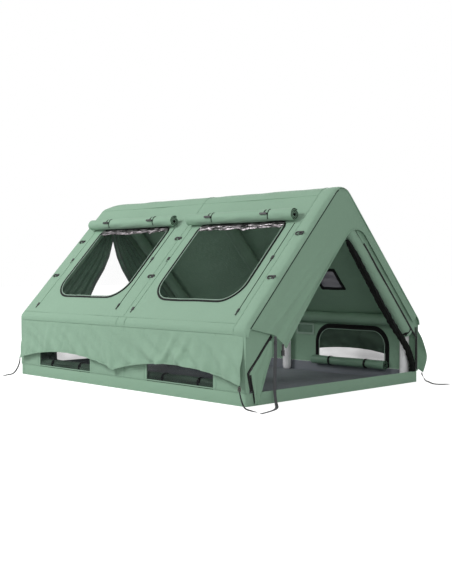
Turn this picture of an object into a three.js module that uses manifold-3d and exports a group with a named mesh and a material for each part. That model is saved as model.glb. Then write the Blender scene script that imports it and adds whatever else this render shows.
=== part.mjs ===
// Inflatable ridge tent with low side walls, two film windows in one roof slope and an A-shaped door.
// Units are millimetres. The origin is on the ground at the middle of the floor, +Z is up,
// the door faces -Y and the slope with the two windows faces -X.

import * as THREE from 'three';
import { mergeVertices } from 'three/addons/utils/BufferGeometryUtils.js';
import Module from 'manifold-3d';

const wasm = await Module();
wasm.setup();

const { sin, cos, tan, hypot, max, min, round, floor, PI } = Math;
const degree = PI / 180;
const metre = 1000;

// Driving dimensions of the shell
const shell = {
  halfWidth: 1087, halfLength: 1500, eaveHeight: 562, pitch: 46.86 * degree,
  ridgeRadius: 143, skin: 3, eaveSeam: 46, ridgeSeam: 30,
};
const fit = { gap: 0.3, overrun: 20 };
const air = {
  eaveRadius: 50, ridgeRadius: 60, rafterRadius: 60, legRadius: 42.5, inset: 100, rafterFoot: 40,
};
const tray = { floor: 6, rim: 12, rimHeight: 95 };
const windowSize = {
  middle: 210, end: 290, low: 265, fromApex: 477.7, lowRadius: 200, highRadius: 60,
  welt: 9, proud: 4, filmThick: 2,
};
const roll = {
  overhang: 245, radius: 50, shift: 40, apart: 13, above: 38, layerThick: 7, wrapStep: 12, coreRadius: 6,
};
const vent = {
  shift: 12, middle: 387.5, end: 332.5, height: 335, cornerRadius: 140,
  band: 45, bandThick: 4, netThick: 1.5,
};
const ventRoll = { radius: 42.5, height: 127, overlap: 36, layerThick: 6, wrapStep: 10.5, coreRadius: 6 };
const hatch = {
  fromFront: 747, low: 349, width: 285, height: 260, frame: 30, cornerRadius: 12, filmThick: 2, proud: 4,
};
const skirt = {
  dropHeight: 47, thick: 3, hemHeight: 155, hemRiseHeight: 100, flareDepth: 30,
  foldDepth: 10, folds: 22, endInset: 25, cuspPlace: 16, blownDepth: 160, blownLength: 550, blownHeight: 85,
  hemPower: 0.8, flarePower: 1.5, foldDrift: 3, swellShare: 0.8, swellPower: 1.3,
};
const hood = { depth: 150, reach: 20, bulge: 18, lip: 22, faceInset: 15, band: 85, archRadius: 170 };
const canopy = {
  width: 350, flare: 57, cornerSlope: 161, cornerInset: 247.5, tipSlope: 168, lowSlope: 30,
  thick: 3, foldDepth: 16, folds: 3, buckleShare: 5 / 6, flarePower: 2,
};
const door = { leftStrip: 243, leftPost: 37, rightPost: 23, seam: 0.3 };
const flap = {
  dropHeight: 95, bottomHeight: 12, kneeHeight: 240, footInset: 55, footWidth: 35,
  topWidth: 25, shoulderHeight: 360, shoulderWidth: 124, kneeWidth: 183,
  foldDepth: 4, folds: 2, calmShare: 0.3, thick: 3,
};
const doorRoll = {
  radius: 50, inset: 176, below: 10, fromApex: 259, layerThick: 7, wrapStep: 12, coreRadius: 6,
};
const meshRoll = {
  radius: 28, clear: 2, rippleShare: 0.07, ripples: 26,
  footInset: 36, footHeight: 140, kneeHeight: 185, kneeInset: 9,
};
const rear = { inset: 150, post: 187, apexRadius: 120, overlap: 20 };
const curtain = {
  dropHeight: 38, tieHeight: 420, tieWidth: 180, footWidth: 200, thick: 3,
  foldDepth: 9, folds: 5, clearGap: 6,
};
const toggle = { length: 80, width: 16, thick: 12, cornerRadius: 7, lean: 30 * degree, inset: 292.5 };
const slider = {
  width: 14, length: 34, thick: 8, pullLength: 30, pullWidth: 8, pullThick: 3,
  coverLow: 155, doorInset: 235.5, doorLow: 262,
};
const valve = { radius: 22, height: 300, proud: 3, capRadius: 27, capThick: 7, ear: 12 };
const strap = { width: 25, cornerWidth: 12, thick: 2 };
const buckle = { width: 28, height: 24, thick: 10, wall: 3, plugHeight: 16, prong: 18, clear: 0.5, web: 50 };

// How finely the round shapes are cut, in counts
const cut = {
  tube: 24, arc: 5, ridgeArc: 10, spiral: 12, stepPower: 8, strand: 8, corner: 6, small: 2,
  stepsPerPoint: 1.5, net: 26,
};
const cloth = { skirt: [64, 4], curtain: [15, 10], canopy: [12, 8], flap: [6, 12] };
const roughness = { cloth: 0.8, floor: 0.7, leg: 0.45, film: 0.15, plastic: 0.4, net: 0.9 };

const colour = {
  shell: 0x91ac98, inner: 0x4d6a58, sleeve: 0x5c7d68, floor: 0x55585e, leg: 0xb9b8b8, film: 0xcfd6d2,
  black: 0x1b1d1d, mesh: 0x2b2f2e, web: 0x3c3f40, hood: 0x708c78,
};

const finish = (shade, rough = roughness.cloth) =>
  new THREE.MeshStandardMaterial({ color: shade, roughness: rough, metalness: 0 });

// The frame of lines that everything hangs on
const slopeLength = shell.halfWidth / cos(shell.pitch);
const apexHeight = shell.eaveHeight + shell.halfWidth * tan(shell.pitch);
const ridgeCentre = apexHeight - shell.ridgeRadius / cos(shell.pitch);
const ridgeTop = ridgeCentre + shell.ridgeRadius;
const ridgeTangent = slopeLength - shell.ridgeRadius * tan(shell.pitch);
const eaveOuter = air.eaveRadius + fit.gap + shell.skin;
const eaveCentre = {
  x: shell.halfWidth - eaveOuter,
  z: shell.eaveHeight - eaveOuter * (1 - sin(shell.pitch)) / cos(shell.pitch),
};
const innerFace = shell.skin + fit.gap;
const seat = tray.rimHeight + fit.gap;
const normalAngle = PI / 2 - shell.pitch;
const legPlace = shell.halfWidth - tray.rim - fit.gap - air.legRadius;
const framePlaces = { front: air.inset - shell.halfLength, middle: 0, rear: shell.halfLength - air.inset };
const windowWidth = shell.halfLength - windowSize.middle - windowSize.end;
const windowPlace = windowSize.middle + windowWidth / 2;
const windowHigh = slopeLength - windowSize.fromApex;
const rollLength = windowWidth + roll.overhang;
const rollSlope = windowHigh + roll.above;
const ventWidth = shell.halfLength - vent.middle - vent.end;
const ventPlace = vent.middle + ventWidth / 2;
const hoodFace = -shell.halfLength - hood.reach;
const frontSeam = hoodFace + hood.depth + hood.reach;

const tent = new THREE.Group();

// A point of the section: slope is the distance up from the eave, out the distance off the skin
const roofPoint = (slope, out, side = 1) => new THREE.Vector2(
  side * (shell.halfWidth - slope * cos(shell.pitch) + out * sin(shell.pitch)),
  shell.eaveHeight + slope * sin(shell.pitch) + out * cos(shell.pitch),
);
const insetLine = (inset, x) => apexHeight - inset / cos(shell.pitch) - x * tan(shell.pitch);
const insetPlace = (inset, z) => (apexHeight - inset / cos(shell.pitch) - z) / tan(shell.pitch);

function arcPoints(cx, cz, radius, from, to, steps) {
  return Array.from({ length: steps + 1 }, (_, i) => {
    const angle = from + (to - from) * i / steps;
    return new THREE.Vector2(cx + radius * cos(angle), cz + radius * sin(angle));
  });
}

const mirrored = (points) => points.map((p) => new THREE.Vector2(-p.x, p.y)).reverse();

function halfSection(inset, bottom) {
  const out = new THREE.Vector2(shell.halfWidth - inset, bottom);
  const eave = arcPoints(eaveCentre.x, eaveCentre.z, eaveOuter - inset, 0, normalAngle, cut.arc);
  const ridge = arcPoints(0, ridgeCentre, shell.ridgeRadius - inset, normalAngle, PI / 2, cut.ridgeArc / 2);
  return [out, ...eave, ...ridge];
}

// Geometry helpers: every piece ends as one closed body with its faces pointing out
function closed(geometry) {
  const bare = new THREE.BufferGeometry();
  bare.setAttribute('position', geometry.getAttribute('position').clone());
  if (geometry.index) bare.setIndex(geometry.index.clone());
  const merged = mergeVertices(bare);
  const p = merged.getAttribute('position');
  const index = Array.from(merged.index.array);
  const [a, b, c] = [new THREE.Vector3(), new THREE.Vector3(), new THREE.Vector3()];
  let volume = 0;
  const kept = [];
  for (let i = 0; i < index.length; i += 3) {
    const [u, v, w] = index.slice(i, i + 3);
    if (u === v || v === w || w === u) continue;
    kept.push(u, v, w);
    a.fromBufferAttribute(p, u);
    b.fromBufferAttribute(p, v);
    c.fromBufferAttribute(p, w);
    volume += a.dot(b.cross(c));
  }
  if (volume < 0) {
    for (let i = 0; i < kept.length; i += 3) [kept[i + 1], kept[i + 2]] = [kept[i + 2], kept[i + 1]];
  }
  merged.setIndex(kept);
  return merged;
}

function toSolid(geometry) {
  const ready = closed(geometry);
  return new wasm.Manifold(new wasm.Mesh({
    numProp: 3,
    vertProperties: new Float32Array(ready.getAttribute('position').array),
    triVerts: new Uint32Array(ready.index.array),
  }));
}

function toGeometry(solid) {
  const mesh = solid.getMesh();
  const geometry = new THREE.BufferGeometry();
  geometry.setAttribute('position', new THREE.BufferAttribute(new Float32Array(mesh.vertProperties), 3));
  geometry.setIndex(Array.from(mesh.triVerts));
  return geometry;
}

const joined = (first, ...others) => (
  toGeometry(others.reduce((solid, g) => solid.add(toSolid(g)), toSolid(first)))
);
const without = (first, ...others) => (
  toGeometry(others.reduce((solid, g) => solid.subtract(toSolid(g)), toSolid(first)))
);

function place(name, geometry, material, group = tent) {
  const mesh = new THREE.Mesh(closed(geometry), material);
  mesh.name = name;
  group.add(mesh);
  return mesh;
}

function frameAt(origin, across, up) {
  const group = new THREE.Group();
  const out = new THREE.Vector3().crossVectors(across, up);
  group.applyMatrix4(new THREE.Matrix4().makeBasis(across, up, out).setPosition(origin));
  tent.add(group);
  return group;
}

const vec = (x, y, z) => new THREE.Vector3(x, y, z);
const upZ = vec(0, 0, 1);
const [rise, lean] = [sin(shell.pitch), cos(shell.pitch)];
const roofFrames = {
  left: frameAt(vec(-shell.halfWidth, 0, shell.eaveHeight), vec(0, -1, 0), vec(lean, 0, rise)),
  right: frameAt(vec(shell.halfWidth, 0, shell.eaveHeight), vec(0, 1, 0), vec(-lean, 0, rise)),
};
const wallFrames = {
  left: frameAt(vec(-shell.halfWidth, 0, 0), vec(0, -1, 0), upZ),
  right: frameAt(vec(shell.halfWidth, 0, 0), vec(0, 1, 0), upZ),
};
const frontFrame = frameAt(vec(0, -shell.halfLength, 0), vec(1, 0, 0), upZ);
const rearFrame = frameAt(vec(0, shell.halfLength, 0), vec(-1, 0, 0), upZ);

// Local x in a side's frame for a place along the tent
const along = (side, y) => (side === 'left' ? -y : y);

function plate(shape, low, high, curveSegments = cut.corner) {
  const depth = high - low;
  const geometry = new THREE.ExtrudeGeometry(shape, { depth, bevelEnabled: false, curveSegments });
  return geometry.translate(0, 0, low);
}

function alongLength(points, from, to) {
  const settings = { depth: to - from, bevelEnabled: false };
  const geometry = new THREE.ExtrudeGeometry(new THREE.Shape(points), settings);
  return geometry.rotateX(PI / 2).translate(0, to, 0);
}

// A box with rounded lower and upper corners, drawn from its middle line
function roundedShape(middle, low, high, width, lowCorner, highCorner, kind = THREE.Shape) {
  const [l, r] = [middle - width / 2, middle + width / 2];
  const shape = new kind();
  shape.moveTo(l + lowCorner, low);
  shape.lineTo(r - lowCorner, low);
  if (lowCorner > 0) shape.absarc(r - lowCorner, low + lowCorner, lowCorner, -PI / 2, 0);
  shape.lineTo(r, high - highCorner);
  shape.absarc(r - highCorner, high - highCorner, highCorner, 0, PI / 2);
  shape.lineTo(l + highCorner, high);
  shape.absarc(l + highCorner, high - highCorner, highCorner, PI / 2, PI);
  shape.lineTo(l, low + lowCorner);
  if (lowCorner > 0) shape.absarc(l + lowCorner, low + lowCorner, lowCorner, PI, 1.5 * PI);
  return shape;
}

function ring(shape, hole) {
  shape.holes.push(hole);
  return shape;
}

function tube(radius, from, to, axis) {
  const geometry = new THREE.CylinderGeometry(radius, radius, to - from, cut.tube);
  geometry.translate(0, (from + to) / 2, 0);
  if (axis === 'z') geometry.rotateX(PI / 2);
  if (axis === 'x') geometry.rotateZ(-PI / 2);
  return geometry;
}

// A closed sheet of cloth: at(u, v) gives its middle surface, the offset half its thickness
function sheet(at, offset, across, down) {
  const positions = [];
  const index = [];
  const count = (across + 1) * (down + 1);
  for (const face of [1, -1]) {
    for (let j = 0; j <= down; j += 1) {
      for (let i = 0; i <= across; i += 1) {
        const p = at(i / across, j / down);
        positions.push(p.x + face * offset.x, p.y + face * offset.y, p.z + face * offset.z);
      }
    }
  }
  const id = (i, j, back) => j * (across + 1) + i + (back ? count : 0);
  const quad = (a, b, c, d) => index.push(a, b, c, a, c, d);
  for (let j = 0; j < down; j += 1) {
    for (let i = 0; i < across; i += 1) {
      quad(id(i, j), id(i + 1, j), id(i + 1, j + 1), id(i, j + 1));
      quad(id(i, j + 1, true), id(i + 1, j + 1, true), id(i + 1, j, true), id(i, j, true));
    }
  }
  for (let i = 0; i < across; i += 1) {
    quad(id(i, 0, true), id(i + 1, 0, true), id(i + 1, 0), id(i, 0));
    quad(id(i, down), id(i + 1, down), id(i + 1, down, true), id(i, down, true));
  }
  for (let j = 0; j < down; j += 1) {
    quad(id(0, j), id(0, j + 1), id(0, j + 1, true), id(0, j, true));
    quad(id(across, j, true), id(across, j + 1, true), id(across, j + 1), id(across, j));
  }
  return meshOf(positions, index);
}

function meshOf(positions, index) {
  const geometry = new THREE.BufferGeometry();
  geometry.setAttribute('position', new THREE.Float32BufferAttribute(positions, 3));
  geometry.setIndex(index);
  return geometry;
}

// Closed rings of points, one after another, with flat ends
function loft(rings, endTriangles) {
  const n = rings[0].length;
  const index = [];
  for (let j = 0; j + 1 < rings.length; j += 1) {
    for (let i = 0; i < n; i += 1) {
      const [a, b] = [j * n + i, j * n + (i + 1) % n];
      index.push(a, b, b + n, a, b + n, a + n);
    }
  }
  const last = (rings.length - 1) * n;
  for (const [a, b, c] of endTriangles) {
    index.push(c, b, a, last + a, last + b, last + c);
  }
  return meshOf(rings.flat().flatMap((p) => [p.x, p.y, p.z]), index);
}

// A layer of cloth wound on itself, seen from its end, as a closed outline. Each turn is round
// until it steps in under the next one
function spiralOutline(size) {
  const steps = round((size.radius - size.layerThick - size.coreRadius) / size.wrapStep * cut.spiral);
  const outer = [];
  const inner = [];
  for (let i = 0; i <= steps; i += 1) {
    const turn = i / cut.spiral;
    const angle = 2 * PI * turn;
    const whole = floor(turn);
    const r = size.radius - size.wrapStep * (whole + (turn - whole) ** cut.stepPower);
    const under = r - size.layerThick;
    outer.push(new THREE.Vector2(r * cos(angle), r * sin(angle)));
    inner.push(new THREE.Vector2(under * cos(angle), under * sin(angle)));
  }
  return [...outer, ...inner.reverse()];
}

function woundRoll(size, from, to, start) {
  const shape = new THREE.Shape(spiralOutline(size));
  return plate(shape, from, to).rotateZ(start);
}

// Inflated frame: ridge, eaves, six rafters and six legs
function airFrame() {
  const reach = framePlaces.rear + air.rafterRadius;
  const ridgeBeam = ridgeTop - innerFace - air.ridgeRadius;
  const ridge = tube(air.ridgeRadius, -reach, reach, 'y').translate(0, 0, ridgeBeam);
  place('ridge_beam', ridge, finish(colour.sleeve));
  const eaveOut = -innerFace - air.eaveRadius;
  const beamSlope = hypot(shell.halfWidth - eaveCentre.x, eaveCentre.z - shell.eaveHeight);
  const tangentSlope = Math.sqrt(beamSlope ** 2 - eaveOuter ** 2);
  const ridgeRise = ridgeBeam - shell.eaveHeight;
  const ridgeSlope = shell.halfWidth * lean + ridgeRise * rise;
  const ridgeOut = ridgeRise * lean - shell.halfWidth * rise;
  for (const [side, sign] of [['left', -1], ['right', 1]]) {
    const beam = tube(air.eaveRadius, -reach, reach, 'y').translate(sign * eaveCentre.x, 0, eaveCentre.z);
    place(`eave_beam_${side}`, beam, finish(colour.sleeve));
    for (const [bay, y] of Object.entries(framePlaces)) {
      const x = along(side, y);
      const body = tube(air.rafterRadius, air.rafterFoot, ridgeTangent, 'y');
      body.translate(x, 0, -innerFace - air.rafterRadius);
      const [from, to] = [x - air.rafterRadius - fit.overrun, x + air.rafterRadius + fit.overrun];
      const eaveCut = tube(air.eaveRadius + fit.gap, from, to, 'x').translate(0, tangentSlope, eaveOut);
      const ridgeCut = tube(air.ridgeRadius + fit.gap, from, to, 'x').translate(0, ridgeSlope, ridgeOut);
      const rafter = without(body, eaveCut, ridgeCut);
      place(`rafter_${bay}_${side}`, rafter, finish(colour.sleeve), roofFrames[side]);
      const legTop = eaveCentre.z - air.eaveRadius - fit.gap;
      const leg = tube(air.legRadius, tray.floor + fit.gap, legTop, 'z').translate(sign * legPlace, y, 0);
      const boss = tube(valve.radius, 0, shell.halfLength + valve.proud - y, 'y');
      boss.translate(sign * legPlace, y, valve.height);
      const valved = bay === 'rear' && side === 'left';
      place(`leg_${bay}_${side}`, valved ? joined(leg, boss) : leg, finish(colour.leg, roughness.leg));
    }
  }
}

// Floor with a low rim that also makes the door sill
function groundsheet() {
  const outer = new THREE.BoxGeometry(2 * shell.halfWidth, 2 * shell.halfLength, tray.rimHeight);
  const inner = new THREE.BoxGeometry(
    2 * (shell.halfWidth - tray.rim), 2 * (shell.halfLength - tray.rim), tray.rimHeight + fit.overrun,
  );
  outer.translate(0, 0, tray.rimHeight / 2);
  inner.translate(0, 0, tray.floor + (tray.rimHeight + fit.overrun) / 2);
  place('groundsheet', without(outer, inner), finish(colour.floor, roughness.floor));
}

// Low wall with the round fold over the eave beam, notched over the rim for two vents
const ventPlaces = { front: vent.shift - ventPlace, rear: vent.shift + ventPlace };

function wallOutline() {
  const line = (inset) => [
    new THREE.Vector2(shell.halfWidth - inset, seat),
    ...arcPoints(eaveCentre.x, eaveCentre.z, eaveOuter - inset, 0, normalAngle, cut.arc),
    roofPoint(shell.eaveSeam, -inset),
  ];
  return [...line(0), ...line(shell.skin).reverse()];
}

function walls() {
  const bandHalf = ventWidth / 2 + vent.band;
  for (const [side, sign] of [['left', -1], ['right', 1]]) {
    const points = sign > 0 ? wallOutline() : mirrored(wallOutline());
    const wall = alongLength(points, -shell.halfLength, shell.halfLength);
    const notches = Object.values(ventPlaces).map((y) => {
      const top = seat + vent.height;
      const shape = roundedShape(along(side, y), seat - fit.overrun, top, ventWidth, 0, vent.cornerRadius);
      const notch = plate(shape, -fit.overrun, fit.overrun);
      return notch.applyMatrix4(wallFrames[side].matrix);
    });
    place(`wall_${side}`, without(wall, ...notches), finish(colour.shell));
    for (const [bay, y] of Object.entries(ventPlaces)) {
      const [x, low, high] = [along(side, y), seat + fit.gap, seat + vent.height + vent.band];
      const outer = () => roundedShape(x, low, high, 2 * bandHalf, 0, vent.cornerRadius + vent.band);
      const [from, to] = [low + vent.band, high - vent.band];
      const hole = roundedShape(x, from, to, ventWidth, 0, vent.cornerRadius, THREE.Path);
      const pane = plate(outer(), -innerFace - vent.netThick, -innerFace);
      const band = plate(ring(outer(), hole), -innerFace - vent.bandThick, -innerFace);
      place(`vent_panel_${bay}_${side}`, joined(band, pane), finish(colour.mesh), wallFrames[side]);
      const half = ventWidth / 2 + ventRoll.overlap;
      const cover = woundRoll(ventRoll, -half, half, PI).rotateY(PI / 2);
      cover.translate(x, ventRoll.height, -innerFace - vent.bandThick - fit.gap - ventRoll.radius);
      place(`vent_roll_${bay}_${side}`, cover, finish(colour.inner), wallFrames[side]);
    }
  }
}

// Flat roof skins, with the film windows on one side and a small hatch on the other
const windowPlaces = { front: -windowPlace, rear: windowPlace };

function windowOutline(x, inset, kind) {
  return roundedShape(
    x, windowSize.low + inset, windowHigh - inset, windowWidth - 2 * inset,
    windowSize.lowRadius - inset, windowSize.highRadius - inset, kind,
  );
}

function roofs() {
  const low = shell.eaveSeam + fit.gap;
  const high = ridgeTangent - shell.ridgeSeam - fit.gap;
  const [yLow, yHigh] = [frontSeam + fit.gap, shell.halfLength];
  for (const side of ['left', 'right']) {
    const ends = [along(side, yLow), along(side, yHigh)].sort((a, b) => a - b);
    const shape = new THREE.Shape([
      new THREE.Vector2(ends[0], low), new THREE.Vector2(ends[1], low),
      new THREE.Vector2(ends[1], high), new THREE.Vector2(ends[0], high),
    ]);
    if (side === 'left') {
      for (const y of Object.values(windowPlaces)) {
        shape.holes.push(windowOutline(along(side, y), 0, THREE.Path));
      }
    } else {
      const [x, lip] = [along(side, hatch.fromFront - shell.halfLength), hatch.frame / 2];
      shape.holes.push(roundedShape(
        x, hatch.low + lip, hatch.low + hatch.height - lip, hatch.width - 2 * lip,
        hatch.cornerRadius, hatch.cornerRadius, THREE.Path,
      ));
    }
    place(`roof_${side}`, plate(shape, -shell.skin, 0), finish(colour.shell), roofFrames[side]);
  }
  for (const [bay, y] of Object.entries(windowPlaces)) {
    const x = along('left', y);
    const film = plate(windowOutline(x, fit.gap), -shell.skin, -shell.skin + windowSize.filmThick);
    const border = ring(windowOutline(x, fit.gap), windowOutline(x, fit.gap + windowSize.welt, THREE.Path));
    const welt = plate(border, -shell.skin, windowSize.proud);
    place(`window_pane_${bay}`, joined(welt, film), finish(colour.film, roughness.film), roofFrames.left);
  }
  const x = along('right', hatch.fromFront - shell.halfLength);
  const top = hatch.low + hatch.height;
  const outline = (inset, kind) => roundedShape(
    x, hatch.low + inset, top - inset, hatch.width - 2 * inset, hatch.cornerRadius, hatch.cornerRadius, kind,
  );
  const film = plate(outline(0), -innerFace - hatch.filmThick, -innerFace, cut.small);
  const border = ring(outline(0), outline(hatch.frame, THREE.Path));
  const frame = plate(border, -innerFace - hatch.filmThick - hatch.proud, -innerFace, cut.small);
  place('hatch_pane', joined(frame, film), finish(colour.black, roughness.plastic), roofFrames.right);
}

function ridgeCover() {
  const half = (inset) => [
    roofPoint(ridgeTangent - shell.ridgeSeam, -inset),
    ...arcPoints(0, ridgeCentre, shell.ridgeRadius - inset, normalAngle, PI - normalAngle, cut.ridgeArc),
    roofPoint(ridgeTangent - shell.ridgeSeam, -inset, -1),
  ];
  const points = [...half(0), ...half(shell.skin).reverse()];
  place('ridge_cover', alongLength(points, frontSeam + fit.gap, shell.halfLength), finish(colour.shell));
}

// Window covers rolled up above the windows, each held by two toggles
const rollPlace = windowPlace + roll.apart;
const rollPlaces = { front: roll.shift - rollPlace, rear: roll.shift + rollPlace };
const toggleSpread = rollLength / 2 - toggle.inset;
const toggleSpots = { outer: toggleSpread, inner: -toggleSpread };

function coverRolls() {
  for (const [bay, y] of Object.entries(rollPlaces)) {
    const x = along('left', y);
    const wound = woundRoll(roll, -rollLength / 2, rollLength / 2, 0).rotateY(PI / 2);
    wound.translate(x, rollSlope, fit.gap + roll.radius);
    place(`cover_roll_${bay}`, wound, finish(colour.shell), roofFrames.left);
    for (const [spot, shift] of Object.entries(toggleSpots)) {
      const half = toggle.width / 2;
      const shape = roundedShape(0, -half, half, toggle.length, toggle.cornerRadius, toggle.cornerRadius);
      const bar = plate(shape, 0, toggle.thick, cut.small);
      bar.translate(0, 0, roll.radius + fit.gap);
      const group = new THREE.Group();
      group.position.set(x + (bay === 'front' ? shift : -shift), rollSlope, fit.gap + roll.radius);
      group.rotation.x = toggle.lean;
      roofFrames.left.add(group);
      place(`roll_toggle_${bay}_${spot}`, bar, finish(colour.black, roughness.plastic), group);
    }
  }
}

// Rain skirt on each side, hung from the foot of the eave, with a scalloped hem and soft folds
function hemHeight(y) {
  const end = (shell.halfLength - skirt.endInset) * (y < skirt.cuspPlace ? -1 : 1);
  const share = (y - skirt.cuspPlace) / (end - skirt.cuspPlace);
  return skirt.hemHeight + skirt.hemRiseHeight * max(sin(PI * share), 0) ** skirt.hemPower;
}

function skirtPoint(sign, u, v) {
  const end = shell.halfLength - skirt.endInset;
  const y = end * (2 * u - 1);
  const near = max(1 - (y + end) / skirt.blownLength, 0) ** 2;
  const blown = sign > 0 ? near : 0;
  const low = hemHeight(y) - blown * skirt.blownHeight;
  const top = shell.eaveHeight - skirt.dropHeight;
  const z = top + v * (low - top);
  const wave = sin(2 * PI * skirt.folds * u + skirt.foldDrift * sin(2 * PI * u));
  const fold = skirt.foldDepth * v * (1 + wave) / 2;
  const swell = blown * skirt.blownDepth * sin(PI * v * skirt.swellShare) ** skirt.swellPower;
  const out = fit.gap + skirt.thick / 2 + skirt.flareDepth * v ** skirt.flarePower + fold + swell;
  return vec(sign * (shell.halfWidth + out), y, z);
}

function skirts() {
  for (const [side, sign] of [['left', -1], ['right', 1]]) {
    const hung = sheet((u, v) => skirtPoint(sign, u, v), vec(skirt.thick / 2, 0, 0), ...cloth.skirt);
    place(`skirt_${side}`, hung, finish(colour.shell));
  }
}

// Puffed band round the front edge with the fixed part of the front face
const bandShares = [[0, 0], [0.25, 0.66], [0.52, 1], [0.78, 0.72], [0.93, -0.3]];

function hoodProfile() {
  const length = hoodFace - frontSeam;
  const outer = bandShares.map(([a, n]) => new THREE.Vector2(frontSeam + a * length, n * hood.bulge));
  outer.push(new THREE.Vector2(hoodFace, -hood.bulge), new THREE.Vector2(hoodFace, -hood.lip));
  const inner = outer.map((p) => {
    const face = p.x === hoodFace;
    const lip = face && p.y === -hood.lip;
    return new THREE.Vector2(face ? p.x + shell.skin : p.x, lip ? p.y : p.y - shell.skin);
  });
  return [...outer, ...inner.reverse()];
}

function frontHood() {
  const profile = hoodProfile();
  const stations = [];
  const [low, high] = [shell.eaveSeam + fit.gap, ridgeTangent];
  const normal = vec(rise, 0, lean);
  const leftNormal = vec(-normal.x, 0, normal.z);
  for (const s of [low, high]) stations.push([roofPoint(s, 0), normal]);
  for (const p of arcPoints(0, 0, 1, normalAngle, PI - normalAngle, cut.ridgeArc).slice(1, -1)) {
    const base = new THREE.Vector2(p.x * shell.ridgeRadius, ridgeCentre + p.y * shell.ridgeRadius);
    stations.push([base, vec(p.x, 0, p.y)]);
  }
  for (const s of [high, low]) stations.push([roofPoint(s, 0, -1), leftNormal]);
  const rings = stations.map(([base, n]) => (
    profile.map((p) => vec(base.x + n.x * p.y, p.x, base.y + n.z * p.y))
  ));
  const ends = THREE.ShapeUtils.triangulateShape(profile, []);
  const band = loft(rings, ends);

  // Face plate: a band down the right slope and the solid peak over the rounded arch
  const reach = hood.band + hood.archRadius;
  const leftReach = canopy.width + hood.archRadius;
  const archX = (leftReach - reach) / (2 * rise);
  const archZ = insetLine(reach, archX);
  const arch = arcPoints(archX, archZ, hood.archRadius, PI - normalAngle, normalAngle, cut.ridgeArc);
  const cutSlope = (archX + shell.halfWidth) * lean + (archZ - shell.eaveHeight) * rise;
  const peak = shell.ridgeRadius - hood.faceInset;
  const outer = [
    roofPoint(low, -hood.faceInset),
    ...arcPoints(0, ridgeCentre, peak, normalAngle, PI - normalAngle, cut.ridgeArc),
    roofPoint(cutSlope, -hood.faceInset, -1),
  ];
  const points = [...outer, ...arch, roofPoint(low, -hood.band)];
  const face = alongLength(points, hoodFace, hoodFace + shell.skin);
  place('front_hood', joined(band, face), finish(colour.hood));
  return cutSlope;
}

// Left front panel, let down: it hinges out on the slope's edge as an awning
function canopyPoint(u, v, topSlope) {
  const start = hood.lip + fit.gap;
  const edge = canopy.width + canopy.flare * (1 - u) ** canopy.flarePower;
  const corner = (canopy.cornerInset - start) / (canopy.width + canopy.flare - start);
  const inset = start + v * (edge - start);
  const low = v < corner
    ? canopy.lowSlope + (canopy.cornerSlope - canopy.lowSlope) * v / corner
    : canopy.cornerSlope + (canopy.tipSlope - canopy.cornerSlope) * (v - corner) / (1 - corner);
  const p = roofPoint(low + u * (topSlope - low), -inset, -1);
  const ripple = (1 - cos(2 * PI * canopy.folds * v)) / 2;
  const y = hoodFace + shell.skin / 2 - canopy.foldDepth * v * (1 - u) * ripple;
  return vec(p.x, y, p.y);
}

function canopyPanel(cutSlope) {
  const topSlope = cutSlope - fit.gap;
  const panel = sheet((v, u) => canopyPoint(u, v, topSlope), vec(0, canopy.thick / 2, 0), ...cloth.canopy);
  place('canopy_left', panel, finish(colour.hood));
}

// Fixed front wall: a wide strip with the door zip on the left, a narrow one on the right
function frontWalls() {
  const section = halfSection(innerFace, seat);
  section[section.length - 1] = new THREE.Vector2(door.seam, section[section.length - 1].y);
  const strip = (inset, post) => [
    ...section,
    new THREE.Vector2(door.seam, insetLine(inset, door.seam)),
    new THREE.Vector2(post, insetLine(inset, post)),
    new THREE.Vector2(post, seat),
  ];
  const rollBehind = doorRoll.radius + fit.gap - hood.reach;
  const rightStrip = doorRoll.inset - Math.sqrt(doorRoll.radius ** 2 - rollBehind ** 2) - fit.gap;
  const left = mirrored(strip(door.leftStrip, shell.halfWidth - door.leftPost));
  place('front_wall_left', plate(new THREE.Shape(left), -shell.skin, 0), finish(colour.shell), frontFrame);
  const right = strip(rightStrip, shell.halfWidth - door.rightPost);
  place('front_wall_right', plate(new THREE.Shape(right), -shell.skin, 0), finish(colour.shell), frontFrame);
}

// Left leaf of the door, hanging loose in front of the sill
function flapPoint(u, v) {
  const top = shell.eaveHeight - flap.dropHeight;
  const z = top + v * (flap.bottomHeight - top);
  const kneeOuter = insetPlace(door.leftStrip + fit.gap, flap.kneeHeight);
  let [outer, width] = [insetPlace(door.leftStrip + fit.gap, z), 0];
  if (z > flap.shoulderHeight) {
    // The top stays clear of the strap that hangs in front of it
    const share = (z - flap.shoulderHeight) / (top - flap.shoulderHeight);
    width = flap.shoulderWidth + (flap.topWidth - flap.shoulderWidth) * share;
  } else if (z > flap.kneeHeight) {
    const share = (z - flap.kneeHeight) / (flap.shoulderHeight - flap.kneeHeight);
    width = flap.kneeWidth + (flap.shoulderWidth - flap.kneeWidth) * share;
  } else {
    const share = (flap.kneeHeight - z) / (flap.kneeHeight - flap.bottomHeight);
    outer = kneeOuter - flap.footInset * share;
    width = flap.kneeWidth + (flap.footWidth - flap.kneeWidth) * share;
  }
  const fold = flap.foldDepth * (1 - cos(2 * PI * flap.folds * u));
  const loose = flap.calmShare + (1 - flap.calmShare) * v;
  const y = -shell.halfLength - fit.gap - flap.thick / 2 - fold * loose;
  return vec(u * width - outer, y, z);
}

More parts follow.
